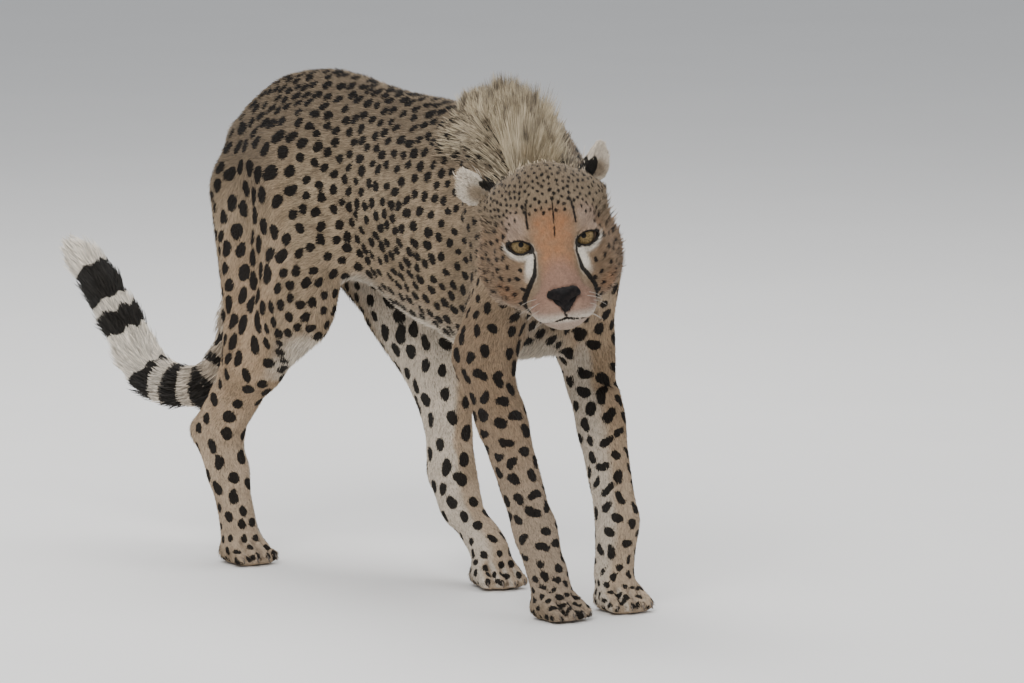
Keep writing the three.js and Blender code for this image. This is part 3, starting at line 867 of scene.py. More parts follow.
# the nose leather and the bed that the skin leaves for it
noseSpec = {
    "middle": (0.112, 0, -0.042), "reach": 0.05, "sunk": 0.0044,
    "voxel": 0.0013, "rounds": 8, "proud": 0.0016,
    "nostril": (0.0024, 0.0034),    # width and depth
    "groove": (0.0010, 0.0014),
}
co = readCo(skinMesh)
noseTree = solidTree("nose_pad")
sunk = np.zeros(len(co))
for i in np.nonzero(farFrom(co, fromHead(np.array(noseSpec["middle"]))) < noseSpec["reach"])[0]:
    sunk[i] = noseSpec["sunk"] * fade(noseTree.find_nearest(Vector(co[i]))[3], 0.0008, 0.0028)
writeCo(skinMesh, co - readNormals(skinMesh) * sunk[:, None])
print("skin sculpted")

# markings: spots, tear lines and tail bands, all as one distance from the edge of the black
markSpec = {
    # spacing, half length and half width of the spots in millimetres
    "flank": (15.8, 7.4, 6.3),
    "back": (14.6, 7.8, 6.7),
    "shoulder": (17.6, 7.6, 6),
    "neck": (16, 6.6, 4.8),
    "thigh": (25, 12.2, 9.8),
    "foreTop": (22.5, 10.4, 7.8),
    "hindLeg": (24, 10, 7.4),
    "foreLeg": (20, 8.6, 6.2),
    "tail": (21.5, 9.2, 7.2),
    "cheek": (12, 4, 3.1),
    "crown": (7.4, 2.8, 2),
}
scatterSpec = {
    "crowding": 0.475,  # least distance as a share of both spacings together
    "onFeet": 0.60,     # size there
    "seed": 11,
    "cell": 0.03,       # at least the widest spacing
    "tailEnd": 0.35,    # without spots
}
# bands from the tail's tip: start, end, how broken
tailBands = [(0.047, 0.099, 0.15), (0.110, 0.146, 0.40), (0.196, 0.222, 0.25), (0.238, 0.262, 0.15),
             (0.280, 0.300, 0.35), (0.318, 0.334, 0.60)]
bandLean = (260, 140)    # waves per metre that break the bands, across and up


def bodyZones(co, normals, fields):
    # how much each place belongs to the parts of the body that have their own spots and colours
    far, onHead, z = fields["far"], fields["onHead"], fields["local"][:, 2]
    hind, fore = least(far["hindRight"], far["hindLeft"]), least(far["foreRight"], far["foreLeft"])
    behind, height = co[:, 1], co[:, 2]
    return {
        "back": step(normals[:, 2], 0.45, 0.85) * step(height, 0.53, 0.57),
        "shoulder": fade(behind, -0.20, -0.14) * fade(height, 0.50, 0.56),
        "neck": fade(far["neck"], 1.15, 1.45),
        "thigh": fade(hind, 1.10, 1.45) * step(height, 0.24, 0.30) * fade(height, 0.53, 0.58),
        "foreTop": fade(fore, 1.2, 1.6) * fade(height, 0.32, 0.38),
        "hindLeg": fade(hind, 1.4, 1.8) * fade(height, 0.24, 0.30) * step(behind, -0.22, -0.18),
        "foreLeg": fade(fore, 1.4, 1.8) * fade(height, 0.20, 0.26) * fade(behind, -0.24, -0.20),
        "tail": fields["onTail"],
        "cheek": onHead * fade(z, 0.020, 0.045),
        "crown": onHead * step(z, 0.020, 0.045),
    }


def spotless(co, normals, fields):
    # places without spots: belly, soles, muzzle, round the eyes, bridge, ears and the tail's end
    x, y, z = fields["local"].T
    face = most(
        fade(np.abs(y), 0.036, 0.046) * step(x, 0.030, 0.044) * fade(z, 0.046, 0.058),
        fade(fromPair(fields["local"], fineSpec["eyeMiddle"]), 0.026, 0.030),
        step(x, 0.062, 0.072) * fade(z, 0.036, 0.046),
    )
    return most(
        step(-normals[:, 2], 0.55, 0.80) * (co[:, 2] > 0.27),
        co[:, 2] < 0.006,
        face * fields["onHead"],
        fields["onEar"],
        fields["onTail"] * (fields["left"] < scatterSpec["tailEnd"]),
    )


def roomFor(place, gap, grid, key):
    for away in itertools.product((-1, 0, 1), repeat=3):
        for other, otherGap in grid.get(tuple(k + d for k, d in zip(key, away)), ()):
            if math.dist(place, other) < (gap + otherGap) * scatterSpec["crowding"]:
                return False
    return True


def scatterSpots(co, normals, lie, fields):
    # spots in an even random spread, each on the skin, lying along the coat
    zones = bodyZones(co, normals, fields)
    sizeOf = {name: np.array(mm(size)[0]) for name, size in markSpec.items()}
    sizes = layered(
        np.tile(sizeOf["flank"], (len(co), 1)),
        *((sizeOf[name], zone[:, None]) for name, zone in zones.items()),
    )
    feet = scatterSpec["onFeet"]
    sizes = sizes * (feet + (1 - feet) * step(co[:, 2], 0.03, 0.10))[:, None]
    limb = most(zones["foreTop"], zones["foreLeg"])
    bare = spotless(co, normals, fields)
    rng = random.Random(scatterSpec["seed"])
    order = [i for i in range(len(co)) if bare[i] < 0.5]
    rng.shuffle(order)
    grid = {}
    spots = []
    for i in order:
        place, gap = tuple(co[i]), sizes[i, 0]
        key = tuple(int(v // scatterSpec["cell"]) for v in place)
        if not roomFor(place, gap, grid, key):
            continue
        grid.setdefault(key, []).append((place, gap))
        turn = rng.gauss(1.1 * limb[i], 0.35 + 0.3 * limb[i])
        size = rng.uniform(0.84, 1.10)
        spots.append({
            "place": co[i], "normal": normals[i],
            "along": lie[i] * math.cos(turn) + np.cross(normals[i], lie[i]) * math.sin(turn),
            "long": sizes[i, 1] * size * rng.uniform(0.90, 1.10),
            "wide": sizes[i, 2] * size * rng.uniform(0.90, 1.10),
            "lumps": (rng.uniform(0, 6.28), rng.uniform(0, 6.28), rng.uniform(0.03, 0.12 + 0.18 * limb[i])),
        })
    return spots


def spotTables(spots):
    table = {key: np.array([spot[key] for spot in spots]) for key in spots[0]}
    table["across"] = np.cross(table["normal"], table["along"])
    table["tree"] = kdtree.KDTree(len(spots))
    for i, spot in enumerate(spots):
        table["tree"].insert(spot["place"], i)
    table["tree"].balance()
    return table


def spotEdge(points, table, count=3):
    # distance from the edge of the nearest spots, negative inside them
    found = np.array([[hit[1] for hit in table["tree"].find_n(point, count)] for point in points])
    edges = [np.full(len(points), farthest)]
    for i in found.T:
        away = points - table["place"][i]
        u, v, off = [(away * table[name][i]).sum(1) for name in ("along", "across", "normal")]
        turn = np.arctan2(v, u)
        first, second, size = table["lumps"][i].T
        lump = 1 + size * np.sin(2 * turn + first) + 0.6 * size * np.sin(3 * turn + second)
        ratio = np.hypot(u / table["long"][i], v / table["wide"][i]) / lump
        edges.append((ratio - 1) * table["wide"][i] + np.maximum(np.abs(off) - 0.010, 0))
    return least(*edges)


browPath = mm((42, 26.5, 65), (50.5, 28.5, 53), (55, 29, 44), (58.5, 28.5, 37))
foreheadPath = mm((47, 5, 67), (59, 3.5, 53), (68, 2, 37), (73, 1, 27))
faceLines = [
    # path, half width, how much wider it grows and between which lengths, sides
    (tearPath, 0.0018, 0.0021, 0.010, 0.060, sides),
    (browPath, 0.0016, 0.0, 0.0, 1.0, sides),
    (mouthPath, 0.0016, -0.0008, 0.006, 0.030, sides),
    (lipGap, 0.0012, 0.0, 0.0, 1.0, (1,)),
    (foreheadPath, 0.0010, 0.0, 0.0, 1.0, (1,)),
]
rimSpec = {"width": 0.0021, "atCorners": 0.0022, "from": 0.009, "to": 0.016}
earPatches = [((-0.040, -0.062, 0.074), 0.0115), ((-0.037, 0.0610, 0.073), 0.0160)]
earCups = mm((-50, 73, 66), (-50, -76.5, 58.5))


def onSkin(path, side):
    # the path's points and those between them, each set on the skin
    path = np.array(mirrored(path, side))
    steps = np.linspace(0, 1, 7)[:-1, None]
    dense = np.concatenate([a + (b - a) * steps for a, b in zip(path[:-1], path[1:])] + [path[-1:]])
    return [tuple(toHead(np.array(markTree.find_nearest(Vector(fromHead(p)))[0]))) for p in dense]


def faceEdge(local):
    # distance from the edge of the face's lines, the eyes' rims and the ear patches
    edges = []
    for path, width, more, low, high in faceMarks:
        far, walked = alongPath(local, path)
        edges.append(far - (width + more * step(walked, low, high)))
    for side in sides:
        flat = eyeFlat(local, side)
        wider = rimSpec["atCorners"] * step(np.abs(flat[:, 0]), rimSpec["from"], rimSpec["to"])
        rim = eyeDistance(flat[:, :2]) - rimSpec["width"] - wider
        edges.append(np.where(flat[:, 2] > 0, rim, farthest))
    edges += [farFrom(local, place) - size for place, size in earPatches]
    return least(farthest, *edges)


def markEdge(points):
    # distance from the edge of all that is black, negative inside
    local = toHead(points)
    lines = np.full(len(points), farthest)
    close = farFrom(local, (0.03, 0, 0)) < 0.16
    lines[close] = faceEdge(local[close])
    far, walked = alongPath(points, tailPath)
    left = tailLength - walked
    onTail = (points[:, 1] > 0.3) & (far < 0.06)
    lean = np.sin(points[:, 0] * bandLean[0] + points[:, 2] * bandLean[1])
    for start, end, broken in tailBands:
        half = (end - start) / 2
        band = np.abs(left - (start + end) / 2) - half * (1 - broken * (0.5 + 0.5 * lean))
        lines = np.where(onTail, least(lines, band), lines)
    return least(spotEdge(points, spotTable), lines)


def lieField(co, normals, fields):
    # which way the hair points: from nose to tail and down the legs
    heading = np.zeros_like(co)
    for name, (far, way) in fields["reach"].items():
        weight = np.maximum(far, 0.3) ** -5
        if name == "trunk":
            way = np.array([(0.0, 1.0, -0.30)])
        if name == "tail":
            weight = weight * step(co[:, 1], 0.26, 0.30)
        if name in limbNames:
            weight = weight * fade(co[:, 2], 0.40, 0.52)
        heading += way * weight[:, None]
    local = fields["local"]
    away = local - (0.118, 0.0, -0.034)
    for side, place in ears.items():
        base = np.array(place) - (0.0, 0.012 * side, 0.030)
        share = (fields["onEar"] * (np.sign(local[:, 1]) == side))[:, None]
        away = blendIn(unit(away), unit(local - base), share)
    heading = blendIn(unit(heading), unit(away) @ headTurn.T, fields["onHead"][:, None])
    return unit(heading - normals * (heading * normals).sum(1)[:, None])


co, normals = readCo(skinMesh), readNormals(skinMesh)
markTree = meshTree(skinMesh, co)
faceMarks = [(onSkin(path, side), *widths) for path, *widths, onSides in faceLines for side in onSides]
fields = coatFields(co, normals)
lie = lieField(co, normals, fields)
spots = scatterSpots(co, normals, lie, fields)
spotTable = spotTables(spots)
print("spots:", len(spots))


def earShadedHollow(local, normals):
    # the sunk inner side of the ears, darkened with painted shade; fewer locks grow there
    far = least(*(farFrom(local, place) for place in earCups))
    return fade(far, 0.006, 0.018) * step((normals @ headTurn)[:, 0], 0.1, 0.5)


bridgePath = mm((64, 0, 42), (78, 0, 22), (98, 0, 0), (112, 0, -16))
browPatch = (0.044, 0.044, 0.034)


def bodyShades(co, normals, fields):
    # pale, umber and ash shares of the body's colour, before the head's; the umber share is partly darker
    # coat and partly painted shade
    zones = bodyZones(co, normals, fields)
    far, onHead, onLimb = fields["far"], fields["onHead"], fields["onLimb"]
    up, behind, height = normals[:, 2], co[:, 1], co[:, 2]
    body = 1 - onHead
    pale = [
        0.75 * (step(-up, 0.35, 0.95) * (height > 0.24) * body),
        0.14 * onLimb * fade(height, 0.10, 0.26),
        fields["onTail"] * (0.25 + 0.85 * fade(fields["left"], 0.16, 0.34)),
    ]
    for name in limbNames:
        inward = normals[:, 0] * (1.0 if "Right" in name else -1.0)
        share, soft = (0.54, 0.45) if "fore" in name else (0.56, 0.30)
        pale.append(share * fade(far[name], 1.3, 1.8) * step(inward, soft, soft + 0.5) * (height < 0.42))
    # upward-facing back: a darker coat there, and painted shade on the top as well
    shadedTop = step(up, -0.1, 0.75) * step(height, 0.46, 0.56)
    # painted shade on the upper rump
    rumpShade = step(behind, 0.06, 0.18) * step(height, 0.40, 0.52)
    # painted shade on the right foreleg, darker than the left one
    rightForeShade = fade(far["foreRight"], 1.3, 1.8) * fade(height, 0.36, 0.44)
    # painted shade in the grooves between the toes
    shadedClefts = least(*(alongPath(co, path)[0] for path in toeClefts))
    umberAndShade = most(
        most(0.30 + 0.70 * shadedTop, rumpShade, 0.55 * zones["shoulder"]) * body * (1 - onLimb),
        0.74 * rightForeShade * body,
        0.9 * fade(shadedClefts, 0.0016, 0.0045),
    )
    grizzle = step(height, 0.34, 0.44) * step(behind, -0.20, -0.12) * (1 - 0.75 * shadedTop)
    ash = 0.30 * grizzle * body * (1 - onLimb) * (1 - zones["thigh"])
    return most(*pale), umberAndShade, ash


def faceShades(local, hollowShade, onEar):
    # pale, rust, umber and pink shares of the head's colour; the pale share drops in the ear hollows as
    # painted shade
    x, y, z = local.T
    wide = np.abs(y)

    def near(place, size):
        return fade(fromPair(local, place), size * 0.35, size)

    pale = [
        (0.70 - 0.44 * fade(z, -0.074, -0.066)) * step(x, 0.080, 0.094) * fade(z, -0.068, -0.050),
        0.18 * near((0.085, 0.0, -0.080), 0.026),
        0.14 * near(browPatch, 0.027),
        # less pale in the ear hollow: painted shade
        onEar * (0.62 - 0.56 * hollowShade),
        0.16 * fade(z, -0.075, -0.040),
    ]
    for side, rim in zip(sides, eyeRim(local)):
        below = -eyeFlat(local, side)[:, 1]
        pale.append(0.95 * fade(rim, 0.0040, 0.0100) * step(below, 0.001, 0.007))
        beside = [(px, py + side * 0.0052, pz) for px, py, pz in mirrored(tearPath[:6], side)]
        stripe, along = alongPath(local, beside)
        pale.append(0.85 * fade(stripe, 0.004, 0.010) * fade(along, 0.025, 0.050))
    onBridge = nearPath(local, bridgePath, 0.012, 0.040)
    rust = most(
        0.85 * onBridge * fade(z, 0.040, 0.070) * (1 - 0.6 * step(x, 0.085, 0.11)),
        0.20 * step(wide, 0.025, 0.045) * fade(z, 0.010, 0.040),
        0.50 * near((0.044, 0.055, -0.042), 0.028),
        0.30 * near((0.030, 0.056, 0.016), 0.024),
        0.26 * near(browPatch, 0.030),
    )
    pink = most(0.85 * step(x, 0.076, 0.100) * fade(z, 0.0, 0.018), 0.40 * near(browPatch, 0.028))
    umberAndShade = most(0.72 + 0.10 * step(z, 0.045, 0.075), 0.86 * step(wide, 0.030, 0.050) * fade(z, 0.0, 0.030))
    return most(*pale), rust, umberAndShade, pink


def shadeFields(co, normals, fields):
    # pale, rust and umber together, then pink and ash, as shares of the coat's colour; the umber share also
    # carries painted shade
    local, onHead, onEar = fields["local"], fields["onHead"], fields["onEar"]
    hollowShade = earShadedHollow(local, normals)
    pale, umberAndShade, ash = bodyShades(co, normals, fields)
    headPale, rust, headUmber, pink = faceShades(local, hollowShade, onEar)
    # painted shade in the ear hollows, through the umber share
    umberAndShade = blendIn(blendIn(umberAndShade, headUmber, onHead), 0.7 * hollowShade, onEar)
    nape = onHead * fade(local[:, 0], -0.058, -0.036) * step(local[:, 2], 0.02, 0.05)
    ash = most(step(fields["crest"], 0.15, 0.6), nape, ash)
    rust = most(rust * onHead, 0.13 * fields["onLimb"])
    shades = np.stack([blendIn(pale, headPale, onHead), rust, umberAndShade], 1)
    return {"shades": shades, "pink": pink * onHead, "ash": ash * (1 - onEar)}


# mane: how far each hair on the nape reaches to the outline
maneSpec = {
    "root": mm((22, -150, 470), (14, -224, 490), (-14, -300, 480), (-50, -352, 472)),
    "lean": (0.02, 0.16, 0.10),
    "furthest": 0.125,
    "shortest": 0.012,
    "overshoot": 1.04,
    "density": 900000.0,
    "width": 0.00105,
    "spread": {"Jitter": 0.13, "Clumps": 70.0, "Gather": 14.0},
    "ragged": 0.0,
    "seed": 80,
}


def maneReach(co, normals):
    tree = solidTree("mane")
    path = np.array(maneSpec["root"])
    ways = np.zeros_like(co)
    lengths = np.zeros(len(co))
    top = (co[:, 2] > 0.50) & (co[:, 1] > -0.42) & (co[:, 1] < -0.09)
    for i in np.nonzero(top)[0]:
        point = co[i]
        feet = []
        for a, line in zip(path[:-1], path[1:] - path[:-1]):
            feet.append(a + line * np.clip((point - a) @ line / (line @ line), 0, 1))
        foot = min(feet, key=lambda f: np.linalg.norm(point - f))
        way = unit(unit(point - foot) + np.array(maneSpec["lean"]))
        if way @ normals[i] < 0.15:
            continue
        reached = 0.0
        hit = tree.ray_cast(Vector(point), Vector(way), maneSpec["furthest"])[0]
        while hit is not None:
            reached = (hit - Vector(point)).length
            hit = tree.ray_cast(hit + Vector(way) * 0.0005, Vector(way), maneSpec["furthest"] - reached)[0]
        ways[i] = way
        lengths[i] = reached
    return ways, lengths


maneWays, maneLengths = maneReach(co, normals)
print("mane roots:", int((maneLengths > maneSpec["shortest"]).sum()))

# coat: tufts for the short hair and locks for the long hair
tuftSpec = {
    "body": 215000.0, "leg": 245000.0, "face": 720000.0, "crown": 400000.0,
    "widthBody": 0.00125,
    "widthFace": 0.00058,
    "offFloor": 0.0045,
    "spread": {"Jitter": 0.15, "Clumps": 150.0, "Gather": 28.0},
    "ragged": 0.0007,    # of the markings' edge from one tuft to the next
    "seed": 20,
}
lockSpec = {
    "ruff": 50000.0, "crest": 130000.0, "tailEnd": 100000.0, "ear": 22000.0,
    "longer": 1.35,      # than the tufts at the same place
    "leastLength": 0.018,
    "earLength": 0.0056,
    "width": 0.0013,
    "moreLift": 4.0,
    "spread": {"Jitter": 0.15, "Clumps": 110.0, "Gather": 30.0},
    "ragged": 0.0006,
    "seed": 60,
}


def hairAxis(co, normals, length, lift):
    # along the coat and up from it, more so near the soles so that it ends above the floor
    axis = lie * np.cos(lift)[:, None] + normals * np.sin(lift)[:, None]
    axis[:, 2] = np.maximum(axis[:, 2], (tuftSpec["offFloor"] - co[:, 2]) / length)
    return unit(axis)


def coatPlan(co, normals, fields):
    # how thick the tufts and locks stand, how long they are and where they point
    local, onHead, onLimb, height = fields["local"], fields["onHead"], fields["onLimb"], co[:, 2]
    length, lift = fields["length"], np.radians(fields["lift"])
    face = blendIn(tuftSpec["face"], tuftSpec["crown"], step(length, 0.005, 0.010))
    density = layered(tuftSpec["body"], (tuftSpec["leg"], onLimb), (face, onHead))
    nose = farFrom(local, (0.116, 0, -0.038), (0.014, 0.023, 0.016))
    density = density * step(least(*eyeRim(local)), 0.0006, 0.0016) * (height > 0.005) * (nose > 1.0)
    density = density * (nearest(local, mouthPath, lipGap) > 0.0012)
    density = density * (1 - 0.75 * step(maneLengths, 0.010, 0.030))
    width = blendIn(tuftSpec["widthBody"], tuftSpec["widthFace"], onHead * fade(length, 0.004, 0.014))
    width = blendIn(width, width * 0.8, onLimb * fade(height, 0.03, 0.10))
    inside = fields["onEar"] * step((normals @ headTurn)[:, 0], 0.0, 0.4)
    ruff = onHead * step(length, 0.012, 0.018) * step(local[:, 2], -0.060, -0.040)
    lockShares = {
        "ruff": ruff * step(normals[:, 2], -0.6, -0.2),
        "tailEnd": fields["onTail"] * step(fields["tailShare"], 0.10, 0.55),
        "ear": inside * (1 - earShadedHollow(local, normals)),
        "crest": fields["crest"],
    }
    lockLength = np.maximum(length * lockSpec["longer"], lockSpec["leastLength"])
    lockLength = blendIn(lockLength, lockSpec["earLength"], inside)
    lockLift = lift + np.radians(lockSpec["moreLift"])
    every = np.ones(len(co))
    return {
        "tuftDensity": density, "tuftLength": length, "tuftWidth": width,
        "tuftAxis": hairAxis(co, normals, length, lift),
        "lockDensity": most(*(lockSpec[name] * share for name, share in lockShares.items())),
        "lockLength": lockLength, "lockWidth": lockSpec["width"] * every,
        "lockAxis": hairAxis(co, normals, lockLength, lockLift),
        "maneDensity": np.where(maneLengths > maneSpec["shortest"], maneSpec["density"], 0.0),
        "maneLength": maneLengths * maneSpec["overshoot"], "maneWidth": maneSpec["width"] * every,
        "maneAxis": maneWays,
    }


plan = coatPlan(co, normals, fields)
for name, values in {**plan, "markEdge": markEdge(co), **shadeFields(co, normals, fields)}.items():
    writeField(skinMesh, name, values)
print("coat planned")

# the skin's own unwrap, which the coat shares
skin = newObject("skin", skinMesh)
bpy.context.view_layer.objects.active = skin
skin.select_set(True)
bpy.ops.object.mode_set(mode="EDIT")
bpy.ops.mesh.select_all(action="SELECT")
bpy.ops.uv.smart_project(angle_limit=math.radians(66), island_margin=0.002)
bpy.ops.object.mode_set(mode="OBJECT")
skinMesh.uv_layers[0].name = "OFBake"
smoothShaded(skinMesh)
print("skin unwrapped:", sum(len(p.vertices) - 2 for p in skinMesh.polygons), "triangles")

# coat colours, the same for skin and tufts
coatColours = {
    "tan": (0.425, 0.320, 0.212),
    "tanDeep": (0.325, 0.240, 0.152),
    "pale": (0.74, 0.675, 0.575),
    # umber: a darker coat colour, also used for painted shade
    "umberAndShade": (0.180, 0.134, 0.088),
    "rust": (0.345, 0.165, 0.080),
    "pink": (0.270, 0.160, 0.118),
    "ash": (0.400, 0.330, 0.225),
    "ashDark": (0.120, 0.090, 0.060),
    "black": (0.0055, 0.0045, 0.0042),
    "ragged": 0.0011,
}


def coatColour(graph, ragged):
    # the umber share is darker coat and painted shade together
    pale, rust, umberAndShade = graph.attribute("shades", "Vector").split()
    broad = graph.noise(22.0, 3.0).between(0.35, 0.65)
    base = graph.mix(broad, coatColours["tan"], coatColours["tanDeep"])
    ash = graph.mix(graph.noise(70.0, 2.0).between(0.45, 0.68), coatColours["ash"], coatColours["ashDark"])
    for share, colour in (
        (umberAndShade, coatColours["umberAndShade"]),
        (rust * (graph.noise(110.0, 3.0) * 1.1 + 0.38), coatColours["rust"]),
        (graph.attribute("pink"), coatColours["pink"]),
        (graph.attribute("ash") * 0.9, ash),
        (pale, coatColours["pale"]),
    ):
        base = graph.mix(share, base, colour)
    base = graph.scaled(base, graph.noise(240.0, 3.0) * 0.44 + 0.78)
    edge = graph.attribute("markEdge") + (graph.noise(420.0, 2.0) - 0.5) * ragged
    return graph.mix((1 - edge.between(-0.0005, 0.0005)) * 0.97, base, coatColours["black"])


skinLook, graph = newMaterial("coatSkin", {"Roughness": 0.85, "Specular IOR Level": 0.15})
fuzz = graph.noise(900.0, 3.0)
graph.surface(
    colour=graph.scaled(coatColour(graph, coatColours["ragged"]), fuzz * 0.5 + 0.62),
    bump=(fuzz + graph.noise(260.0, 2.0) * 0.6, 0.55, 0.0012),
)
skinMesh.materials.append(skinLook)

tuftLook, graph = newMaterial("coatTufts", {"Roughness": 0.62, "Specular IOR Level": 0.18})
tone, tip = graph.attribute("tuftTone"), graph.attribute("tuftTip")
# random tone of each tuft, times painted shade that darkens it towards the root
toneAndRootShade = (tone * 0.78 + 0.56) * (tip * 0.44 + 0.70)
strand = graph.noise(1500.0, 2.0)
graph.surface(
    colour=graph.scaled(coatColour(graph, 0.0), toneAndRootShade * (strand * 0.2 + 0.9)),
    roughness=tone * 0.2 + 0.52,
    bump=(strand, 0.2, 0.0003),
)

# mane hair: ash blond with dark brown streaks and tips, and painted shade towards the roots
maneColours = {"ash": (0.300, 0.240, 0.155), "blond": (0.66, 0.555, 0.385), "brown": (0.050, 0.036, 0.025)}
maneLook, graph = newMaterial("maneHair", {"Roughness": 0.55, "Specular IOR Level": 0.35})
tone, tip = graph.attribute("tuftTone"), graph.attribute("tuftTip")
place = graph.add("ShaderNodeTexCoord", output="Object")
high = place.split()[2]
clump = graph.noise(70.0, 2.0, graph.vector("MULTIPLY", place, (1.0, 1.0, 0.30)))
hair = graph.mix(tone, maneColours["ash"], maneColours["blond"])
darkTip = (tip * 0.8 + (clump - 0.5) * 2.6 + tone * 0.3 + (high - 0.61) * 5.0).between(0.90, 1.15)
graph.surface(
    # painted shade: each hair darker towards its root
    colour=graph.scaled(graph.mix(darkTip * 0.85, hair, maneColours["brown"]), tip * 0.45 + 0.62),
    roughness=tone * 0.2 + 0.45,
    bump=(graph.noise(1500.0), 0.2, 0.0003),
)


# the shapes that are repeated over the skin; +Z along the hair, +X away from the skin
def strandMesh(name, rings):
    # rings: height, half width, half thickness, bow; the last one is the point
    verts, faces, heights = [], [], []
    for high, wide, thick, bow in rings[:-1]:
        verts += [(bow + thick, 0, high), (bow - thick * 0.5, wide, high), (bow - thick * 0.5, -wide, high)]
        heights += [high] * 3
    verts.append((rings[-1][3], 0, rings[-1][0]))
    heights.append(rings[-1][0])
    last = len(rings) - 2
    for n, k in itertools.product(range(last), range(3)):
        a, b = n * 3 + k, n * 3 + (k + 1) % 3
        faces += [(a, b, b + 3), (a, b + 3, a + 3)]
    for k in range(3):
        faces.append((last * 3 + k, last * 3 + (k + 1) % 3, len(verts) - 1))
    faces.append((0, 2, 1))
    mesh = bpy.data.meshes.new(name)
    mesh.from_pydata(verts, [], faces)
    heights = np.clip(np.array(heights), 0, 1)
    writeField(mesh, "tuftTip", heights)
    writeField(mesh, "patch", np.array([(0.5 + 0.5 * np.sign(v[1]), h, 0) for v, h in zip(verts, heights)]))
    thing = newObject(name, mesh)
    thing.hide_render = True
    return thing


shapes = {
    "tuft": strandMesh("tuftShape", [(-0.08, 0.5, 0.30, 0), (1.0, 0, 0, 0)]),
    "lock": strandMesh("lockShape", [(-0.04, 0.38, 0.30, 0), (0.36, 0.50, 0.34, 0.9),
                                     (0.72, 0.34, 0.24, 0.8), (1.0, 0, 0, -0.3)]),
    "mane": strandMesh("maneShape", [(-0.04, 0.46, 0.36, 0), (0.55, 0.46, 0.36, 1.2), (1.0, 0, 0, -1.2)]),
}
coverSpec = {
    "given": {"Length": 1.0, "Width": 1.0, "Patch": 0.003},    # the patch is each tuft's size on the unwrap
    "lengths": (0.74, 1.12), "widths": (0.70, 1.25),
    "fewest": 100,   # strands worth a piece
    "seed": 40,
}
coverSockets = {"Geometry": "Geometry", "Region": "Int", "Seed": "Int"}
coverSockets.update(dict.fromkeys(("Length", "Width", "Jitter", "Clumps", "Gather", "Patch"), "Float"))


def coverTree(kind, look):
    # Geometry Nodes: strands rooted at random on the chosen faces, realized into one mesh
    tree = bpy.data.node_groups.new(kind + "Cover", "GeometryNodeTree")
    for name, socket in coverSockets.items():
        tree.interface.new_socket(name, in_out="INPUT", socket_type="NodeSocket" + socket)
    tree.interface.new_socket("Geometry", in_out="OUTPUT", socket_type="NodeSocketGeometry")
    g = Graph(tree)
    entry = tree.nodes.new("NodeGroupInput")
    given = {name: Term(g, entry.outputs[name]) for name in coverSockets}

    def named(name, data="FLOAT"):
        return g.add("GeometryNodeInputNamedAttribute", {"data_type": data}, {"Name": name})

    def stored(geometry, name, value, data, domain):
        return g.add("GeometryNodeStoreNamedAttribute", {"data_type": data, "domain": domain},
                     {"Geometry": geometry, "Name": name, "Value": value})

    def anyOf(low, high, seed):
        # a random number for each strand
        return g.add("FunctionNodeRandomValue", {"data_type": "FLOAT"}, {2: low, 3: high, "Seed": seed}, 1)

    same = g.add("FunctionNodeCompare", {"data_type": "INT", "operation": "EQUAL"},
                 {2: named("coatRegion", "INT"), 3: given["Region"]})
    part = g.add("GeometryNodeSeparateGeometry", {"domain": "FACE"}, {0: given["Geometry"], 1: same})
    scatter = {"Mesh": part, "Density": named(kind + "Density"), "Seed": given["Seed"]}
    points = g.add("GeometryNodeDistributePointsOnFaces", {"distribute_method": "RANDOM"}, scatter)
    normal = points.beside("Normal")
    points = stored(points, "rootUv", named("OFBake", "FLOAT_VECTOR"), "FLOAT_VECTOR", "POINT")
    anyWay = g.add("FunctionNodeRandomValue", {"data_type": "FLOAT_VECTOR"},
                   {0: (-1, -1, -1), 1: (1, 1, 1), "Seed": 3})
    shaken = g.scaled(anyWay, given["Jitter"])
    here = g.add("GeometryNodeInputPosition")
    clump = g.add("ShaderNodeTexVoronoi", None, {"Vector": here, "Scale": given["Clumps"]}, "Position")
    aside = g.scaled(g.vector("SUBTRACT", clump, here), given["Gather"])
    way = g.vector("ADD", g.vector("ADD", named(kind + "Axis", "FLOAT_VECTOR"), shaken), aside)
    upright = g.add("FunctionNodeAlignRotationToVector", {"axis": "Z"}, {"Vector": way})
    turned = g.add("FunctionNodeAlignRotationToVector", {"axis": "X", "pivot_axis": "Z"},
                   {"Rotation": upright, "Vector": normal})
    length = named(kind + "Length") * anyOf(*coverSpec["lengths"], 5) * given["Length"]
    width = named(kind + "Width") * anyOf(*coverSpec["widths"], 6) * given["Width"]
    size = g.add("ShaderNodeCombineXYZ", None, [width, width, length])
    source = g.add("GeometryNodeObjectInfo", None, {"Object": shapes[kind]}, "Geometry")
    strands = g.add("GeometryNodeInstanceOnPoints", None,
                    {"Points": points, "Instance": source, "Rotation": turned, "Scale": size})
    strands = stored(strands, "tuftTone", anyOf(0.0, 1.0, 7), "FLOAT", "INSTANCE")
    real = g.add("GeometryNodeRealizeInstances", None, [strands])
    offset = g.scaled(g.vector("SUBTRACT", named("patch", "FLOAT_VECTOR"), (0.5, 0.5, 0.0)), given["Patch"])
    spotOn = g.vector("ADD", named("rootUv", "FLOAT_VECTOR"), offset)
    real = stored(real, "OFBake", spotOn, "FLOAT2", "CORNER")
    real = g.add("GeometryNodeSetMaterial", None, {"Geometry": real, "Material": look})
    leave = tree.nodes.new("NodeGroupOutput")
    tree.links.new(real.socket, leave.inputs[0])
    return tree


looks = {"tuft": tuftLook, "lock": tuftLook, "mane": maneLook}
covers = {kind: coverTree(kind, look) for kind, look in looks.items()}
coatRegions = ["headFront", "headBack", "neckAndChest", "foreLegs", "flankRight", "flankLeft", "back",
               "haunchRight", "haunchLeft", "tail"]


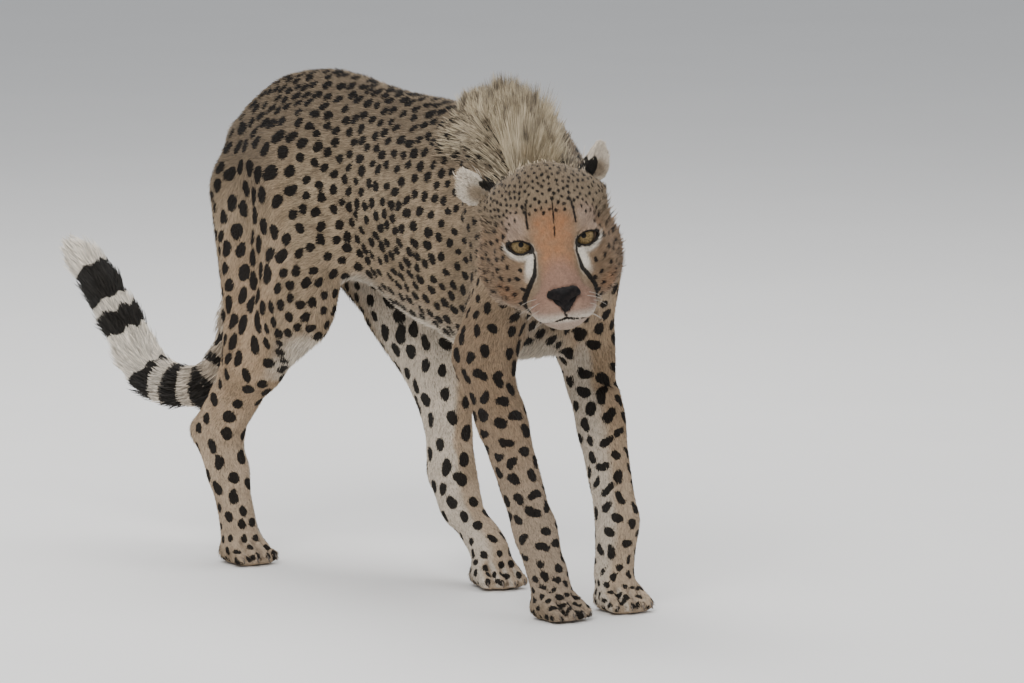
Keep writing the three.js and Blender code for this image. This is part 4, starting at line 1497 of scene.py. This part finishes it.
def regionOf(co, fields):
    # the coat is cut into pieces along these lines; the hair crosses them unbroken
    onHead, far = fields["onHead"] > 0.5, fields["far"]
    x, y, z = co.T
    hind = least(far["hindRight"], far["hindLeft"]) < 1.5
    fore = least(far["foreRight"], far["foreLeft"]) < 1.6
    left = x > chains["trunk"][0][0]
    number = {name: n for n, name in enumerate(coatRegions)}
    region = np.where(left, number["flankLeft"], number["flankRight"])
    region[z > 0.545] = number["back"]
    region[y < -0.215] = number["neckAndChest"]
    haunch = (hind & (y > -0.215) & (z < 0.50)) | ((y > 0.20) & (z > 0.2))
    region[haunch & left] = number["haunchLeft"]
    region[haunch & ~left] = number["haunchRight"]
    region[fore & (z < 0.36) & (y < -0.19)] = number["foreLegs"]
    region[fields["onTail"] > 0.5] = number["tail"]
    region[onHead] = number["headBack"]
    region[onHead & (fields["local"][:, 0] > 0.036)] = number["headFront"]
    return region


faceStarts = read(skinMesh.polygons, "loop_start", 1, np.int32)
faceCorners = read(skinMesh.loops, "vertex_index", 1, np.int32)[faceStarts]
layer = skinMesh.attributes.new("coatRegion", "INT", "FACE")
layer.data.foreach_set("value", regionOf(co, fields)[faceCorners].astype(np.int32))


def growCoat(kind, name, region, spec):
    # one coat piece as a plain mesh, with its marks taken at each strand's middle and point
    base = newObject(name + "Base", skinMesh)
    modifier = base.modifiers.new("cover", "NODES")
    modifier.node_group = covers[kind]
    items = covers[kind].interface.items_tree
    sockets = {item.name: item.identifier for item in items if item.in_out == "INPUT"}
    given = {"Region": region, "Seed": spec["seed"] + region, **coverSpec["given"], **spec["spread"]}
    for label, value in given.items():
        modifier[sockets[label]] = value
    mesh = evaluated(base)
    corners = len(shapes[kind].data.vertices)
    if len(mesh.vertices) < coverSpec["fewest"] * corners:
        return None
    places = readCo(mesh).reshape(-1, corners, 3)
    roots, points = places[:, 0], places[:, -1]
    rng = np.random.default_rng(coverSpec["seed"] + region)
    tips = read(shapes[kind].data.attributes["tuftTip"].data, "value").astype(float)
    middle, point = markEdge((roots + points) / 2), markEdge(points)
    edge = middle[:, None] + (point - middle)[:, None] * (tips * 2 - 1)
    edge = (edge + rng.normal(0, spec["ragged"], (len(roots), 1))).ravel()
    for field in ("patch", "rootUv", "coatRegion", *plan, "markEdge"):
        if field in mesh.attributes:
            mesh.attributes.remove(mesh.attributes[field])
    writeField(mesh, "markEdge", edge)
    mesh.name = name
    piece = newObject(name, mesh)
    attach(piece, "root")
    print(name, len(roots), "strands,", len(mesh.polygons), "triangles")
    return piece


for n, region in enumerate(coatRegions):
    piece = growCoat("tuft", "coat_" + region, n, tuftSpec)
    piece = growCoat("lock", "locks_" + region, n, lockSpec)
for n, region in enumerate(coatRegions):
    piece = growCoat("mane", "mane_" + region, n, maneSpec)
    if piece:
        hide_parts("mane")
for shape in shapes.values():
    bpy.data.objects.remove(shape)
for field in (*plan, "coatRegion"):
    skinMesh.attributes.remove(skinMesh.attributes[field])
print("coat grown")

# eyes: a ball each, with a raised cornea and an iris
eyeballSpec = {
    "radius": 0.0160,
    "setBack": 0.0006,
    "gaze": (-0.602, -0.769, 0.035),
    "iris": 0.0126,
    "cornea": 0.0009,    # how far the cornea stands out
    "equator": 1.5,      # angle where the front ends
    "segments": 56,
}


def buildEye(name, side, look):
    centre, axes = eyeAxes(side)
    centre = fromHead(centre - axes[2] * eyeballSpec["setBack"])
    turn = Vector(eyeballSpec["gaze"]).normalized().to_track_quat("Z", "Y").to_matrix()
    radius, iris, count = eyeballSpec["radius"], eyeballSpec["iris"], eyeballSpec["segments"]
    angles = np.concatenate([np.linspace(0.03, 0.95, 26), np.linspace(1.02, math.pi - 0.08, 22)])
    verts, places = [(0, 0, radius + eyeballSpec["cornea"])], [(0, 0, 0)]
    for angle in angles:
        across = radius * math.sin(angle)
        front = angle < eyeballSpec["equator"]
        bulge = eyeballSpec["cornea"] * max(1 - (across / iris) ** 2, 0) ** 1.5 if front else 0
        out, high = (radius + bulge) * math.sin(angle), (radius + bulge) * math.cos(angle)
        for k in range(count):
            around = 2 * math.pi * k / count
            cos, sin = math.cos(around), math.sin(around)
            verts.append((out * cos, out * sin, high))
            places.append((cos, sin, across if front else radius))
    verts.append((0, 0, -radius))
    places.append((0, 0, radius))
    faces = [(0, 1 + k, 1 + (k + 1) % count) for k in range(count)]
    for ring, k in itertools.product(range(len(angles) - 1), range(count)):
        a, b = 1 + ring * count + k, 1 + ring * count + (k + 1) % count
        faces.append((a, a + count, b + count, b))
    start = 1 + (len(angles) - 1) * count
    faces += [(start + k, len(verts) - 1, start + (k + 1) % count) for k in range(count)]
    mesh = bpy.data.meshes.new(name)
    mesh.from_pydata([turn @ Vector(v) + Vector(centre) for v in verts], [], faces)
    writeField(mesh, "irisPlace", np.array(places))
    smoothShaded(mesh)
    return newObject(name, mesh, look)


eyeColours = {"olive": (0.078, 0.056, 0.024), "amber": (0.185, 0.125, 0.055), "rim": (0.022, 0.015, 0.008),
              "white": (0.085, 0.055, 0.038), "pupil": (0.001, 0.001, 0.001)}
eyeFinish = {"Roughness": 0.5, "Specular IOR Level": 0.1, "Coat Weight": 0.14, "Coat Roughness": 0.03}
eyeLook, graph = newMaterial("eyeball", eyeFinish)
where = graph.attribute("irisPlace", "Vector")
across = where.split()[2]
fibres = graph.noise(9.0, 4.0, graph.vector("MULTIPLY", where, (1.0, 1.0, 60.0)))
hue = graph.mix(fibres.between(0.36, 0.64), eyeColours["olive"], eyeColours["amber"])
hue = graph.scaled(hue, fibres * 0.9 + 0.55)
hue = graph.mix(across.between(0.0098, 0.0125), hue, eyeColours["rim"])
hue = graph.mix(across.between(0.0125, 0.0137), hue, eyeColours["white"])
hue = graph.mix(1 - across.between(0.0028, 0.0033), hue, eyeColours["pupil"])
graph.surface(colour=hue, bump=(fibres, 0.12, 0.0003))
for name, side in (("eye_left", 1), ("eye_right", -1)):
    eyeball = buildEye(name + "_ball", side, eyeLook)
    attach(eyeball, "root")
    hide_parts(name)
print("eyes made")

# nose leather, with painted shade in the nostrils
nostrils = mm((121.5, 7.5, -41), (118, 12.5, -38.5), (112, 18.5, -40))
noseGroove = mm((121.5, 0, -34), (121, 0, -46), (114, 0, -60))
noseColours = {
    "deep": (0.0045, 0.0036, 0.0036),
    "light": (0.012, 0.009, 0.0085),
    # painted shade in the nostrils
    "hollowShade": (0.002, 0.0015, 0.0015),
}
bm = openMesh(nodes["nose_pad"].data)
bmesh.ops.remove_doubles(bm, verts=bm.verts, dist=merge)
noseMesh = remeshed(meshFrom(bm, "noseSolid"), noseSpec["voxel"])
co = readCo(noseMesh)
co = relax(co, readEdges(noseMesh), np.ones((len(co), 1)), noseSpec["rounds"])
writeCo(noseMesh, co + readNormals(noseMesh) * noseSpec["proud"])
for side in sides:
    furrow(noseMesh, mirrored(nostrils, side), *noseSpec["nostril"])
furrow(noseMesh, noseGroove, *noseSpec["groove"])
# where painted shade darkens the nose leather in and round the nostrils
writeField(noseMesh, "hollowShade", fade(nearest(toHead(readCo(noseMesh)), nostrils), 0.0010, 0.0030))
smoothShaded(noseMesh)
noseLook, graph = newMaterial("noseLeather", {"Roughness": 0.5, "Specular IOR Level": 0.10})
where = graph.add("ShaderNodeTexCoord", output="Object")
pebbles = graph.add("ShaderNodeTexVoronoi", {"feature": "DISTANCE_TO_EDGE"},
                    {"Vector": where, "Scale": 1100.0}, "Distance")
hue = graph.mix(graph.noise(220.0, 3.0).between(0.4, 0.7), noseColours["deep"], noseColours["light"])
hue = graph.mix(graph.attribute("hollowShade"), hue, noseColours["hollowShade"])
graph.surface(colour=hue, roughness=graph.noise(300.0) * 0.3 + 0.38, bump=(pebbles, 0.35, 0.0004))
nose = newObject("noseLeather", noseMesh, noseLook)
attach(nose, "root")
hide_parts("nose_pad")
print("nose made")

# claws and whiskers: tapered and bent rods
clawSpec = {
    "length": 0.0080, "width": 0.0016, "tip": 0.00028, "bend": 0.0034, "ahead": 0.0045, "aside": 0.0168,
    "height": 0.0125, "steps": 6, "sides": 8, "dark": (0.045, 0.034, 0.026), "light": (0.16, 0.12, 0.085),
}
whiskerSpec = {
    "rows": 3, "inRow": 2, "length": 0.019, "thick": 0.00025, "droop": 0.008, "sweep": 0.010, "seed": 5,
    "root": (0.101, 0.0235, -0.046), "apart": 0.007, "rowDrop": 0.0055, "jitter": 0.1,
    "steps": 7, "sides": 5, "dark": (0.30, 0.26, 0.21), "light": (0.46, 0.41, 0.35),
}


def rod(bm, points, radii, sides):
    rings = []
    for n, (point, radius) in enumerate(zip(points, radii)):
        ahead = points[min(n + 1, len(points) - 1)] - points[max(n - 1, 0)]
        turn = ahead.to_track_quat("Z", "Y").to_matrix()
        angles = [2 * math.pi * k / sides for k in range(sides)]
        ring = [point + turn @ Vector((math.cos(angle), math.sin(angle), 0)) * radius for angle in angles]
        rings.append([bm.verts.new(place) for place in ring])
    for low, high in zip(rings[:-1], rings[1:]):
        for k in range(sides):
            bm.faces.new((low[k], low[(k + 1) % sides], high[(k + 1) % sides], high[k]))
    bm.faces.new(rings[0][::-1])
    bm.faces.new(rings[-1])


def rodsObject(name, bm, look):
    mesh = meshFrom(bm, name)
    smoothShaded(mesh)
    thing = newObject(name, mesh, look)
    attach(thing, "root")
    return thing


clawLook, graph = newMaterial("claw", {"Roughness": 0.35})
streak = graph.noise(500.0, 3.0)
hue = graph.mix(streak.between(0.35, 0.7), clawSpec["dark"], clawSpec["light"])
graph.surface(colour=hue, bump=(streak, 0.2, 0.0002))
bm = bmesh.new()
for paw, n in itertools.product(paws.values(), toeSides):
    points, radii = [], []
    for k in range(clawSpec["steps"]):
        t = k / (clawSpec["steps"] - 1)
        ahead = toeReach(n) + clawSpec["ahead"] + clawSpec["length"] * t * (1 - 0.2 * t)
        height = clawSpec["height"] - clawSpec["bend"] * t * t * 1.6 - 0.002 * t
        points.append(pawPoint(paw, ahead, n * clawSpec["aside"], height))
        radii.append(clawSpec["width"] * (1 - t) ** 0.8 + clawSpec["tip"])
    rod(bm, points, radii, clawSpec["sides"])
claws = rodsObject("claws", bm, clawLook)

whiskerLook, graph = newMaterial("whisker", {"Roughness": 0.4})
graph.surface(colour=graph.mix(graph.noise(300.0), whiskerSpec["dark"], whiskerSpec["light"]))
rng = random.Random(whiskerSpec["seed"])
x, y, z = whiskerSpec["root"]
bm = bmesh.new()
for side, row, place in itertools.product(sides, range(whiskerSpec["rows"]), range(whiskerSpec["inRow"])):
    start = np.array((x - whiskerSpec["apart"] * place, side * y, z - whiskerSpec["rowDrop"] * row))
    foot = markTree.find_nearest(Vector(fromHead(start)))[0]
    shaken = [rng.uniform(-whiskerSpec["jitter"], whiskerSpec["jitter"]) for _ in range(3)]
    way = unit(np.array((0.30 - 0.30 * place, side, -0.10 - 0.08 * row)) + shaken)
    long = whiskerSpec["length"] * rng.uniform(0.6, 1.0)
    points, radii = [], []
    for k in range(whiskerSpec["steps"]):
        t = k / (whiskerSpec["steps"] - 1)
        flat = way * long * t - np.array((whiskerSpec["sweep"] * t * t, 0, whiskerSpec["droop"] * t * t))
        points.append(foot + Vector(headTurn @ flat))
        radii.append(whiskerSpec["thick"] - 0.00002 * t)
    rod(bm, points, radii, whiskerSpec["sides"])
whiskers = rodsObject("whiskers", bm, whiskerLook)
print("claws and whiskers made")

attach(skin, "root")
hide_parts(*fleshNodes)
shown = [thing.data for thing in bpy.data.objects if thing.type == "MESH" and not thing.hide_render]
triangles = sum(len(p.vertices) - 2 for mesh in shown for p in mesh.polygons)
print("triangles in all, with the floor:", triangles)
